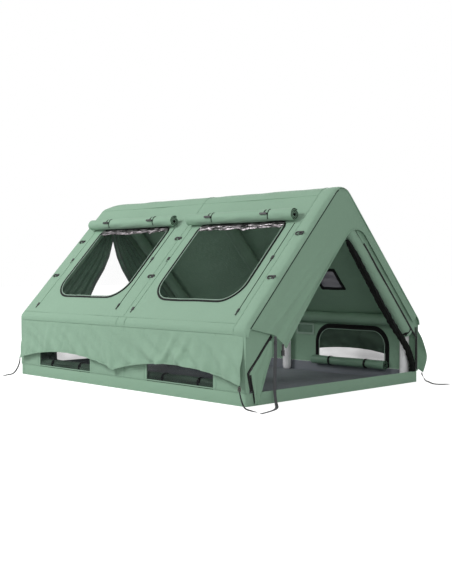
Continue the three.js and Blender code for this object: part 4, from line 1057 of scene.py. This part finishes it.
# Left front panel, let down as an awning, with long soft folds by its inner edge
canopy = {"width": 0.350, "flare": 0.057, "corner": 0.161, "cornerInset": 0.2475, "tip": 0.168, "low": 0.030,
          "fold": 0.016, "folds": 3, "calmEdge": 0.15, "creases": (
              (1.02, 0.30, 0.034, 0.0145), (0.90, 0.50, 0.050, 0.0135), (0.60, 0.30, 0.060, 0.0085),
              (0.86, 0.02, 0.020, 0.0070))}


def canopyAt(u, v, out=0.0):
    start = band["lip"] + gap
    edge = canopy["width"] + canopy["flare"] * (1 - u) ** 2
    corner = (canopy["cornerInset"] - start) / (canopy["width"] + canopy["flare"] - start)
    low = np.where(v < corner, canopy["low"] + (canopy["corner"] - canopy["low"]) * v / corner,
                   canopy["corner"] + (canopy["tip"] - canopy["corner"]) * (v - corner) / (1 - corner))
    x, z = flatRoof(low + u * (cutSlope - gap - low), -(start + v * (edge - start)), -1)
    ripple = (1 - np.cos(2 * pi * canopy["folds"] * v)) / 2
    return stack(x, hoodFace + 0.0015 - canopy["fold"] * v * (1 - u) * ripple + out, z)


def makeCanopy():
    def at(u, v):
        # u runs down from the ridge, v from the slope to the inner edge
        near = v ** 2 * np.exp(-((u - 0.55) / 0.4) ** 2)
        long = near * 0.0035 * np.sin(14 * v + 3 * u) + 0.0022 * flatWaves(u * 0.4, v * 0.35, 0.3, 131)
        for start, turn, wide, high in canopy["creases"]:
            long = long - high * np.exp(-((v - start + turn * u) / wide) ** 2) * u
        calm = np.sin(pi * np.clip(u, 0.02, 0.98)) ** 0.5 * np.clip(v / canopy["calmEdge"], 0, 1)
        return canopyAt(1 - u, v, long * calm)
    piece = gridCloth("awning_panel", at, 90, 60, *faceCloth)
    settle(piece, "hood", "canopy_left", body="awning")
    t = np.linspace(0, 1, 60)
    hem = [tape(canopyAt(u, v, -0.0016), frontWay, 0.010, 0.0016) for u, v in ((0 * t, t), (t, 1 + 0 * t))]
    sweptPiece("awning_hem", hem, "face", "hood", body="awning")


makeFrontBand()
makeFrontFace()
makeCanopy()
print("front band and awning ready")

# Rain skirts: hung from the foot of the eave, with a scalloped hem and soft folds
skirt = {"top": 0.515, "low": 0.155, "rise": 0.100, "flare": 0.030, "fold": 0.010, "folds": 22, "end": 1.475,
         "cusp": 0.016, "blown": 0.160, "blownLength": 0.550, "blownDrop": 0.085, "creaseWide": 0.012,
         "creases": ((0.52, -0.030, 0.011), (0.30, 0.050, 0.020), (0.240, 0.040, 0.018),
                     (0.345, 0.030, 0.009), (0.79, 0.030, 0.010), (0.86, 0.020, 0.008), (0.60, 0.015, 0.007))}


def hemAt(y):
    end = np.where(y < skirt["cusp"], -skirt["end"], skirt["end"])
    share = (y - skirt["cusp"]) / (end - skirt["cusp"])
    return skirt["low"] + skirt["rise"] * np.maximum(np.sin(pi * share), 0) ** 0.8


def skirtAt(side, u, v, out=0.0):
    y = skirt["end"] * (2 * u - 1)
    blown = np.maximum(1 - (y + skirt["end"]) / skirt["blownLength"], 0) ** 2 * (side > 0)
    z = skirt["top"] + v * (hemAt(y) - blown * skirt["blownDrop"] - skirt["top"])
    fold = skirt["fold"] * v * (1 + np.sin(2 * pi * skirt["folds"] * u + 3 * np.sin(2 * pi * u))) / 2
    swell = blown * skirt["blown"] * np.maximum(np.sin(pi * v * 0.8), 0) ** 1.3
    away = gap + 0.0015 * np.clip(v / 0.04, 0, 1) + skirt["flare"] * v ** 1.5 + fold + swell
    return stack(side * (halfWidth + away + out), y, z)


def makeSkirts():
    for word, side in sideNames.items():
        def at(u, v):
            drift = stack(u * 3 + 0.35 * v, v * 0.18, 0)
            folds = waves(drift, 0.16, 141 + side) * 0.0085 * v + waves(drift, 0.36, 143) * 0.0080 * v
            for place, slant, high in skirt["creases"]:
                across = (u - place - slant * (v - 1)) / skirt["creaseWide"]
                folds = folds + high * (np.exp(-across ** 2) - 0.6 * np.exp(-(across + 1.7) ** 2)) * v ** 0.9
            return skirtAt(side, u, v, np.maximum(folds, -0.0013 * np.clip(v / 0.04, 0, 1) - 0.016 * v))
        piece = gridCloth("rain_skirt_" + word, at, 420, 26, *shellCloth, side > 0)
        settle(piece, "shell", "skirt_" + word)
        hem = skirtAt(side, np.linspace(0, 1, 320), 0.985, 0.0032)
        sweptPiece("skirt_hem_" + word, [tape(hem, (side, 0, 0), 0.012, 0.0014)], "shell", "shell")


# Front wall: a strip with the door zip on each side of the doorway, inside the skins' section
def halfSection():
    r, top = eaveRadius - skinDepth, ridgeRadius - skinDepth
    eave = [(eaveX + r * cos(a), eaveZ + r * sin(a)) for a in np.linspace(0, normalAngle, 7)]
    peak = [(top * cos(a), ridgeCentre + top * sin(a)) for a in np.linspace(normalAngle, pi / 2, 8)]
    return [(halfWidth - skinDepth, shell["rim"]), *eave, *peak]


frontWall = {"leftInset": 0.243, "leftPost": 0.037, "rightInset": 0.1359, "rightPost": 0.023}


def makeFrontWalls():
    section = halfSection()
    section[-1] = (gap, section[-1][1])

    def at(x, z):
        calm = np.clip((z - 0.1) / 0.1, 0, 1)
        return stack(x, -halfLength + 0.0015 * calm * flatWaves(x, z, 0.25, 151), z)
    for word, side in sideNames.items():
        inset, post = frontWall[word + "Inset"], halfWidth - frontWall[word + "Post"]
        border = [*section, *[(x, insetLine(inset, x)) for x in (gap, post)], (post, shell["rim"])]
        piece = cutCloth("door_wall_" + word, np.array(border) * (side, 1), [], 0.018, at, *faceCloth)
        settle(piece, "shell", "front_wall_" + word)


flap = {"top": 0.467, "low": 0.012, "knee": 0.240, "footInset": 0.055, "fold": 0.004, "folds": 2,
        "edgeGap": 0.0018, "widths": ((0.012, 0.035), (0.240, 0.183), (0.360, 0.124), (0.467, 0.025))}


def flapAt(u, v, out=0.0):
    z = flap["top"] + v * (flap["low"] - flap["top"])
    inset = frontWall["leftInset"] + flap["edgeGap"]
    width = np.interp(z, *zip(*flap["widths"]))
    share = (flap["knee"] - z) / (flap["knee"] - flap["low"])
    foot = insetPlace(inset, flap["knee"]) - flap["footInset"] * share
    outer = np.where(z > flap["knee"], insetPlace(inset, z), foot)
    fold = flap["fold"] * (1 - np.cos(2 * pi * flap["folds"] * u)) * (0.3 + 0.7 * v)
    return stack(u * width - outer, -halfLength - 0.0018 - fold - out, z)


def makeFlap():
    def at(u, v):
        gather = np.exp(-((v - 1) / 0.35) ** 2) * 0.004 * np.sin(2 * pi * 4 * u) * u
        uneven = 0.0018 + 0.0016 * flatWaves(u * 0.2, v * 0.45, 0.2, 161)
        return flapAt(u, v, np.maximum(gather, -0.001) + uneven)
    piece = gridCloth("door_leaf", at, 40, 70, *faceCloth)
    settle(piece, "shell", "door_flap_left", body="door_leaf")
    t = np.linspace(0, 1, 50)
    hem = [tape(path, frontWay, 0.010, 0.0014)
           for path in (flapAt(0.972, t, 0.0042), flapAt(t, 0.975 + 0 * t, 0.0062))]
    sweptPiece("door_leaf_hem", hem, "face", "shell", body="door_leaf")
    path = flapAt(0.035, np.linspace(0.52, 0.985, 30), 0.0046)
    sweptPiece("door_leaf_zip", [tape(path, frontWay, 0.014, 0.0018)], "black", "zip", body="door_leaf")


# Insect net, gathered along the right side of the doorway
netRoll = {"radius": 0.028, "folds": 9, "taper": 0.5, "post": 0.036, "foot": 0.0958, "line": (
    (0.09, 1.5), (0.26, 1.545), (0.53, 1.625), (0.71, 1.602), (0.86, 1.545))}


def makeNetRoll():
    line = [(a * halfWidth, insetLine(b * doorRoll["inset"], a * halfWidth)) for a, b in netRoll["line"]]
    post = halfWidth - frontWall["rightPost"] - netRoll["post"]
    depth = hoodFace + skinDepth + 0.002 + netRoll["radius"] * 1.07
    line += [(post - 0.009, 0.185), (post, 0.140), (post, netRoll["foot"])]
    path = smoothLine([(x, depth, z) for x, z in line], 260)
    path[-1] = (post, depth, netRoll["foot"])
    angle, t = fullTurn(54), np.linspace(0, 1, len(path))[:, None]
    twist = angle + 5 * t
    field = stack(np.cos(angle)[None] * 0.04, np.sin(angle)[None] * 0.04, t * 0.9)
    folds = 0.10 * np.sin(netRoll["folds"] * twist + 2 * np.sin(40 * t)) + 0.07 * np.sin(5 * twist - 31 * t)
    r = netRoll["radius"] * (0.90 + folds + 0.05 * waves(field, 0.05, 171))
    r = r * (1 - netRoll["taper"] * np.exp(-t / 0.05))
    run = path, (0, 1, 0), np.stack([r * np.cos(angle), r * np.sin(angle)], -1), False
    piece = sweptPiece("insect_net_roll", [run], "net", "net", "mesh_roll_right")


# Rear wall with its doorway, and two curtains tied back to its sides
rearEnd = {"inset": 0.150, "post": 0.187, "apexRadius": 0.120, "overlap": 0.020}
rearPost = halfWidth - rearEnd["post"]
curtain = {"drop": 0.038, "tie": 0.420, "tieWidth": 0.180, "footWidth": 0.200, "fold": 0.009, "folds": 5,
           "clear": 0.006, "hems": ((0.975, 0.030), (0.90, 0.012)),
           "shares": ((0, 1), (0.13, 0.68), (0.29, 0.4), (0.42, 0.295), (0.555, 0.155), (0.68, 0.065),
                      (0.84, 0), (1, 0))}


def curtainAt(side, u, v, out=0.0):
    low, top = shell["rim"] + gap, insetLine(rearEnd["inset"], 0) - curtain["drop"]
    z = top + v * (low - top)
    outer = np.minimum(insetPlace(rearEnd["inset"] - rearEnd["overlap"], z), rearPost + rearEnd["overlap"])
    tieHalf, share = rearPost - curtain["tieWidth"], (z - curtain["tie"]) / (top - curtain["tie"])
    above = curtain["clear"] + (tieHalf - curtain["clear"]) * np.interp(share, *zip(*curtain["shares"]))
    narrow = (curtain["footWidth"] - curtain["tieWidth"]) / (curtain["tie"] - low)
    below = tieHalf - narrow * (curtain["tie"] - z)
    y = halfLength - skinDepth - 0.0015 - curtain["fold"] * (1 - np.cos(2 * pi * curtain["folds"] * u))
    return stack(-side * (outer + u * (np.where(share < 0, below, above) - outer)), y - out, z)


def mirrored(points):
    return [(-x, z) for x, z in points[::-1]]


def makeRearWall():
    section, tip = halfSection(), insetLine(rearEnd["inset"], 0) - rearEnd["apexRadius"] / lean
    arch = [(rearEnd["apexRadius"] * cos(a), tip + rearEnd["apexRadius"] * sin(a))
            for a in np.linspace(pi / 2, normalAngle, 7)]
    half = [*arch, (rearPost, insetLine(rearEnd["inset"], rearPost)), (rearPost, shell["rim"])]
    border = [*section, *mirrored(section)[1:], *mirrored(half), *half[1:]]

    def at(x, z):
        uneven = 0.0012 * np.minimum(flatWaves(x, z, 0.3, 181), 0.2)
        return stack(x, halfLength - 0.0004 + uneven, z - rearDrop(x, halfLength, z))
    hole = [(x - legPlace, valve["height"] + z) for x, z in roundSection(valve["hole"], valve["hole"], 16)]
    piece = cutCloth("rear_wall", border, [hole], 0.02, at, *faceCloth, True)
    settle(piece, "shell", "rear_gable")


def makeCurtains():
    t = np.linspace(0, 1, 90)
    for word, side in (("left", 1), ("right", -1)):
        def at(u, v):
            gather = 0.0025 * np.sin(2 * pi * 9 * u + 3 * v) * np.exp(-((v - 0.70) / 0.10) ** 2)
            return curtainAt(side, u, v, gather + 0.004 * flatWaves(u * 0.5, v * 0.9, 0.22, 183 + side))
        made = gridCloth("rear_drape_" + word, at, 110, 90, 0.0016, "curtain", turn=side < 0)
        settle(made, "inner", "rear_curtain_" + word)
        hems = [tape(curtainAt(side, u, t, 0.0035), frontWay, wide, 0.0018) for u, wide in curtain["hems"]]
        sweptPiece("drape_hem_" + word, hems, "hem", "inner")


# Vents from inside: arched zip band, grey piping, net pane; and a net pocket on the far wall
def wallInside(side, y, d, depth):
    return stack(side * (halfWidth - depth), y, shell["rim"] + d)


def makeVents():
    wide, low, binding, coil, ties = vents["band"], 0.0006, [], [], []
    a = fullTurn(28)
    r = rolls["vent"]["radius"] - 0.0002
    for word, side in sideNames.items():
        for bay, y in ventSpots.items():
            name, foot = f"{bay}_{word}", ventCut(y, 0, low)
            arch = np.concatenate([ventCut(y, wide, low), foot[::-1]])
            border = cutCloth("vent_zip_band_" + name, arch, [], 0.03,
                              lambda a, b: wallInside(side, a, b, vents["bandDeep"]), 0.0032, "black",
                              turn=side > 0)
            pane = cutCloth("vent_net_" + name, foot, [], 0.05,
                            lambda a, b: wallInside(side, a, b, vents["netDeep"]), 0.0006, "mesh",
                            turn=side < 0)
            settle(border, "zip", "vent_panel_" + name)
            settle(pane, "net")
            for inset, radius, runs in ((-0.003, 0.0034, binding), (wide * 0.5, 0.0028, coil)):
                path = wallInside(side, *ventCut(y, inset, low + 0.004).T, vents["trimDeep"])
                runs.append(cord(path, (-side, 0, 0), radius))
            for shift in (-ventRolls["tie"], ventRolls["tie"]):
                around = stack(np.cos(a), 0, np.sin(a))
                ring = (side * ventCentre, y + shift, ventRolls["height"]) + r * around
                ties.append(tape(ring, around, 0.022, 0.0016, True))
    sweptPiece("vent_binding", binding, "paleBinding", "inner")
    sweptPiece("vent_zip_coil", coil, "net", "zip")
    sweptPiece("vent_cover_ties", ties, "black", "webbing")


pocket = {"from": -0.315, "to": -0.085, "low": 0.262, "high": 0.378, "border": 0.020, "deep": 0.0052,
          "bulge": 0.007}


def makePocket():
    low, high, edge = pocket["low"], pocket["high"], pocket["border"]
    y, wide = (pocket["from"] + pocket["to"]) / 2, pocket["to"] - pocket["from"]
    outline = roundedCut(y, low, high, wide, 0.012, 0.006, 5)
    inner = roundedCut(y, low + edge, high - edge, wide - 2 * edge, 0.008, 0.004, 5)

    def at(a, b):
        full = np.cos(pi * (a - y) / wide) * np.sin(pi * (b - low) / (high - low))
        return wallInside(1, a, b, pocket["deep"] + pocket["bulge"] * full)
    net = cutCloth("wall_pocket_net", inner, [], 0.012, at, 0.0012, "curtain")
    settle(net, "net")
    border = cutCloth("wall_pocket_border", outline, [inner], 0.012, lambda a, b: at(a, b) - (0.0012, 0, 0),
                      0.0024, "paleBinding")
    settle(border, "inner")


makeSkirts()
makeFrontWalls()
makeFlap()
makeNetRoll()
makeRearWall()
makeCurtains()
makeVents()
makePocket()
print("skirts, doors and curtains ready")


# Repeats by Geometry Nodes: the tree with its inputs, and the steps that both kinds share
def newTree(name, **sockets):
    tree = bpy.data.node_groups.new(name, "GeometryNodeTree")
    for label, kind in {"Geometry": "Geometry", **sockets, "Finish": "Material"}.items():
        tree.interface.new_socket(label, in_out="INPUT", socket_type="NodeSocket" + kind)
    tree.interface.new_socket("Geometry", in_out="OUTPUT", socket_type="NodeSocketGeometry")
    return tree, addNode(tree, "GroupInput", family="Node").outputs


def growNode(tree, kind, inputs=None, **settings):
    return addNode(tree, kind, inputs, "GeometryNode", **settings)


def ownWay(tree, label):
    return growNode(tree, "InputNamedAttribute", {"Name": label}, data_type="FLOAT_VECTOR").outputs[0]


def setOut(tree, given, **inputs):
    place = growNode(tree, "InstanceOnPoints", inputs)
    real = growNode(tree, "RealizeInstances", {0: place.outputs[0]})
    dressed = growNode(tree, "SetMaterial", {"Geometry": real.outputs[0], "Material": given["Finish"]})
    addNode(tree, "GroupOutput", {0: dressed.outputs[0]}, "Node")
    return tree


# Stitches and zip teeth, set out by length along a line
def repeatTree(name):
    tree, given = newTree(name, Spacing="Float", Size="Vector", Lift="Float")
    curve = growNode(tree, "MeshToCurve", {"Mesh": given["Geometry"]})
    even = growNode(tree, "ResampleCurve", {"Curve": curve.outputs[0], "Length": given["Spacing"]},
                    mode="LENGTH")
    faceWay, tangent = ownWay(tree, "faceWay"), growNode(tree, "InputTangent").outputs[0]
    along = addNode(tree, "AlignRotationToVector", {"Vector": tangent}, "FunctionNode", axis="X")
    turn = addNode(tree, "AlignRotationToVector", {"Rotation": along.outputs[0], "Vector": faceWay},
                   "FunctionNode", axis="Z", pivot_axis="X")
    raised = addNode(tree, "VectorMath", {0: faceWay, "Scale": given["Lift"]}, operation="SCALE")
    lift = growNode(tree, "SetPosition", {"Geometry": even.outputs[0], "Offset": raised.outputs[0]})
    grain = growNode(tree, "MeshCube", {"Size": given["Size"]})
    return setOut(tree, given, Points=lift.outputs[0], Instance=grain.outputs["Mesh"],
                  Rotation=turn.outputs[0])


# Hooks and tabs, one shaped part on given places
def partTree(name):
    tree, given = newTree(name, Part="Object")
    points = growNode(tree, "MeshToPoints", {"Mesh": given["Geometry"]})
    part = growNode(tree, "ObjectInfo", {"Object": given["Part"]})
    turn = addNode(tree, "EulerToRotation", {0: ownWay(tree, "turn")}, "FunctionNode")
    return setOut(tree, given, Points=points.outputs[0], Instance=part.outputs["Geometry"],
                  Rotation=turn.outputs[0])


trees = {"along": repeatTree("setAlongLine"), "places": partTree("setOnPlaces")}


# A bare mesh of places or lines, with one way per point
def carrierOf(name, points, edges, label, ways):
    mesh = bpy.data.meshes.new(name)
    mesh.from_pydata([tuple(p) for p in points], edges, [])
    wayData = mesh.attributes.new(label, "FLOAT_VECTOR", "POINT").data
    wayData.foreach_set("vector", np.array(ways, float).ravel())
    carrier = bpy.data.objects.new(name, mesh)
    scene.collection.objects.link(carrier)
    return carrier


def grown(name, carrier, tree, slot, **settings):
    modifier = carrier.modifiers.new("growth", "NODES")
    modifier.node_group = tree
    for socket in tree.interface.items_tree:
        if socket.in_out == "INPUT" and socket.name in settings:
            modifier[socket.identifier] = settings[socket.name]
    bpy.context.view_layer.update()
    mesh = bpy.data.meshes.new_from_object(carrier.evaluated_get(bpy.context.evaluated_depsgraph_get()))
    mesh.name = name
    piece = bpy.data.objects.new(name, mesh)
    scene.collection.objects.link(piece)
    bpy.data.objects.remove(carrier)
    settle(piece, slot)


def lineCarrier(lines):
    points, edges, ways = [], [], []
    for path, faceDirs in lines:
        edges += [(len(points) + k, len(points) + k + 1) for k in range(len(path) - 1)]
        points += [*path]
        ways += [*np.broadcast_to(faceDirs, (len(path), 3))]
    return carrierOf("lineCarrier", points, edges, "faceWay", ways)


# Seams: a narrow lap with a row of stitches. Each line is a path on the tent and the way its face looks
seam = {"wide": 0.010, "high": 0.0013, "stitch": (0.0055, 0.0012, 0.0008), "spacing": 0.0085,
        "acrossWall": (0.030, -0.080), "besideVents": (-1.185, -0.345, 0.372, 1.212)}


def slopeLine(side, y, s, out=0.0012):
    y, s = together(y, s)
    return roofAt(side, y, s, out), np.broadcast_to(roofNormal(side), (len(y), 3))


def sideLine(side, y, d, out=0.0012):
    path = sideAt(side, y, d, out)
    return path, (sideAt(side, y, d, out + 0.01) - path) / 0.01


def ridgeLine(y, w, out=0.0014):
    path, far = overRidge(y, w, out), overRidge(y, w, out + 0.01)
    return path - stack(0, 0, rearDrop(path[:, 0], path[:, 1], path[:, 2])), (far - path) / 0.01


zips = {"low": 0.130, "high": 1.098, "places": (-1.3055, -0.080, 0.1405, 1.352), "covered": (-0.080, 1.352),
        "coil": 0.0040, "flap": 0.016, "tabs": (0.140, 0.718), "teeth": (0.0034, 0.0018, 0.0014)}


def makeSeams():
    lines = []
    long = np.linspace(frontSeam + 0.004, halfLength - 0.004, 120)
    for side in (-1, 1):
        lines += [slopeLine(side, long, roofLow + 0.006), slopeLine(side, long, roofHigh + 0.004, 0.0006),
                  sideLine(side, np.linspace(-1.492, 1.492, 130), 0.010),
                  sideLine(side, np.linspace(-1.46, 1.47, 130), 0.428, 0.0020),
                  *[sideLine(side, y, np.linspace(0.004, wallLength, 44)) for y in seam["acrossWall"]],
                  *[sideLine(side, y, np.linspace(0.012, 0.42, 30)) for y in seam["besideVents"]],
                  slopeLine(side, -0.020, np.linspace(roofLow + 0.01, roofHigh, 80))]
    lines.append(ridgeLine(-0.020, np.linspace(0.0, 1.0, 40)))
    far = np.linspace(band["low"] + 0.01, overLength - band["low"] - 0.01, 220)
    nx, nz = overTent(far)[2:]
    lines.append((bandAt(far, frontSeam + 0.003, 0.0016), stack(nx, 0, nz)))
    sweptPiece("seam_laps", [tape(*line, seam["wide"], seam["high"]) for line in lines], "shell", "shell")
    grown("seam_stitches", lineCarrier(lines), trees["along"], "shell", Spacing=seam["spacing"],
          Size=seam["stitch"], Lift=seam["high"], Finish=finishes["thread"])


# Cover zips beside the windows and the big door zips
def makeZips():
    flaps, quiet, coils, teeth, doorLines = [], [], [], [], []
    s = np.linspace(zips["low"], zips["high"], 60)
    for y in zips["places"]:
        teeth.append(slopeLine(-1, y, s))
        quiet.append(tape(*teeth[-1], zips["coil"], 0.0018))
        shift = -0.004 if y in zips["covered"] else zips["flap"] / 2 + 0.0020
        flaps.append(tape(*slopeLine(-1, y + shift, s, 0.0014), zips["flap"], 0.0026))
    sweptPiece("cover_zip_flaps", flaps, "shell", "shell")
    inset, knee = frontWall["leftInset"] - 0.004, flap["knee"]
    left = [(-insetPlace(inset, z), z) for z in np.linspace(0.502, knee, 40)]
    left += [(-insetPlace(inset, knee) + 0.030 * k, knee - 0.13 * k) for k in np.linspace(0.1, 1, 14)]
    post = halfWidth - frontWall["rightPost"]
    right = [(x, insetLine(frontWall["rightInset"] - 0.004, x)) for x in np.linspace(0.30, post - 0.006, 70)]
    right += [(post - 0.004, z) for z in np.linspace(right[-1][1] - 0.02, 0.10, 20)]
    for line, wide in ((left, 0.028), (right, 0.018)):
        x, z = np.array(line).T
        doorLines.append((stack(x, -halfLength - 0.0012, z), frontWay))
        coils.append(tape(*doorLines[-1], wide, 0.0014))
    sweptPiece("door_zip_tapes", coils, "black", "zip")
    sweptPiece("cover_zip_tapes", quiet, "zipDarkAndEdgeShade", "zip")
    spacing, long, high = zips["teeth"]
    for name, lines, wide, finish in (("door_zip_teeth", doorLines, 0.0050, "plastic"),
                                      ("cover_zip_teeth", teeth, 0.0026, "zipDarkAndEdgeShade")):
        grown(name, lineCarrier(lines), trees["along"], "zip", Spacing=spacing, Size=(long, wide, high),
              Lift=0.0018, Finish=finishes[finish])


# Small black hooks and tabs beside the windows: place along the tent, up the slope and off it
hook = {"tab": 0.034, "long": 0.058, "bend": 0.0135, "thick": 0.0066, "spots": (
    (1.415, 0.962), (1.415, 0.507), (-0.028, 0.962), (-0.028, 0.507), (-1.460, 0.957, 0.0160),
    (-1.460, 0.492, 0.0160))}


def hookPart():
    long, reach = hook["long"] / 2, hook["bend"]
    bend = [(reach * cos(t + pi) - long, reach * sin(t + pi), 0.008)
            for t in np.linspace(-pi * 0.55, pi * 0.75, 16)]
    bar = smoothLine([(long, reach * 0.5, 0.006), (0.0, reach * 0.9, 0.008), *bend], 34)
    foot = np.array([(0.004, -0.012, 0.0015), (0.004, reach, 0.0036), (0.004, 0.026, 0.0015)])
    return sweptPiece("hookPart", [cord(bar, up, hook["thick"], hook["thick"] * 0.8),
                                   tape(foot, up, hook["tab"], 0.0022)], "plastic")


def tabPart():
    return sweptPiece("tabPart", [
        cord([(0, -0.014, 0.003), (0, 0.018, 0.004)], up, 0.0145, 0.0048, count=12),
        tape([(0, -0.010, 0.002), (0, -0.040, 0.003)], up, 0.011, 0.0030)], "plastic")


# A part's own y axis runs up the slope; its face turns with the roof
def setOnRoof(name, part, spots):
    turns = np.tile((shell["pitch"], 0.0, -pi / 2), (len(spots), 1))
    places = [roofAt(-1, *(np.array([value]) for value in spot))[0] for spot in spots]
    grown(name, carrierOf("placeCarrier", places, [], "turn", turns), trees["places"], "hardware", Part=part,
          Finish=finishes["plastic"])
    bpy.data.objects.remove(part)


def makeHooks():
    setOnRoof("cover_hooks", hookPart(), hook["spots"])
    low, high = zips["tabs"]
    setOnRoof("zip_tabs", tabPart(), [(y, s) for y in zips["places"] for s in (low, high)
                                      if s == high or y in zips["covered"]])


# Bands and loops that hold the wound covers; depth is how far they lie inside the roll's radius
def aroundCover(y, depth, angles):
    r, along, off = rolls["cover"]["radius"] - depth, np.cos(angles), np.sin(angles)
    return coverPlace(r * along, r * off, y), stack(along * lean - off * rise, 0, along * rise + off * lean)


def makeTies():
    bands, loops, keepers = [], [], []
    arc, hold = np.linspace(-0.02 * pi, 0.98 * pi, 34), np.linspace(0.30 * pi, 0.62 * pi, 10)
    for middle in coverRolls["spots"].values():
        for y in (middle - toggleShift, middle + toggleShift):
            tied = y + coverRolls["bandShift"]
            bands.append(tape(*aroundCover(tied, 0.0052, fullTurn(40)), 0.018, 0.0018, True))
            sway = tied + 0.014 * np.cos(arc * 1.5) * np.linspace(1, 0.3, 34)
            loops.append(cord(aroundCover(sway, 0.0012, arc)[0], (0, 1, 0), 0.0028))
            keepers.append(tape(*aroundCover(y, 0.0022, hold), 0.016, 0.0018))
    sweptPiece("toggle_keepers", keepers, "black", "webbing")
    sweptPiece("cover_bands", bands, "shell", "webbing")
    sweptPiece("cover_loops", loops, "black", "webbing")
    a, r = fullTurn(36), rolls["door"]["radius"] - 0.0006
    outward = stack(np.cos(a) * rise, np.sin(a), np.cos(a) * lean)
    ring = doorPlace(r * np.cos(a), r * np.sin(a), doorRoll["tie"])
    sweptPiece("door_roll_ties", [cord(ring, outward, 0.0060, 0.0026, True)], "black", "webbing")


# Moulded parts keep their shape from the source, with softened edges
def makeHardware():
    for name, node in nodes.items():
        if any(word in name for word in ("toggle", "slider", "buckle", "valve_cap")):
            node.data.materials.clear()
            node.data.materials.append(finishes["plastic"])
            edges = node.modifiers.new("softEdges", "BEVEL")
            edges.width, edges.segments, edges.limit_method = 0.0007, 2, "ANGLE"


cornerTapes = {"from": 0.485, "to": 0.112, "wide": 0.013, "places": (1.054, 1.077)}


def makeCornerTapes():
    z, runs = np.linspace(cornerTapes["from"], cornerTapes["to"], 30), []
    for k, x in enumerate(cornerTapes["places"]):
        bulge = 0.0016 + 0.004 * np.sin(pi * (z - z[-1]) / (z[0] - z[-1]))
        path = stack(x + 0.004 * np.sin(9 * z + 2 * k), -halfLength - bulge, z)
        runs.append(tape(path, frontWay, cornerTapes["wide"], 0.0018))
    sweptPiece("corner_tapes", runs, "black", "webbing")


makeCornerTapes()
makeSeams()
makeZips()
makeHooks()
makeTies()
makeHardware()
print("seams, zips and fittings ready")
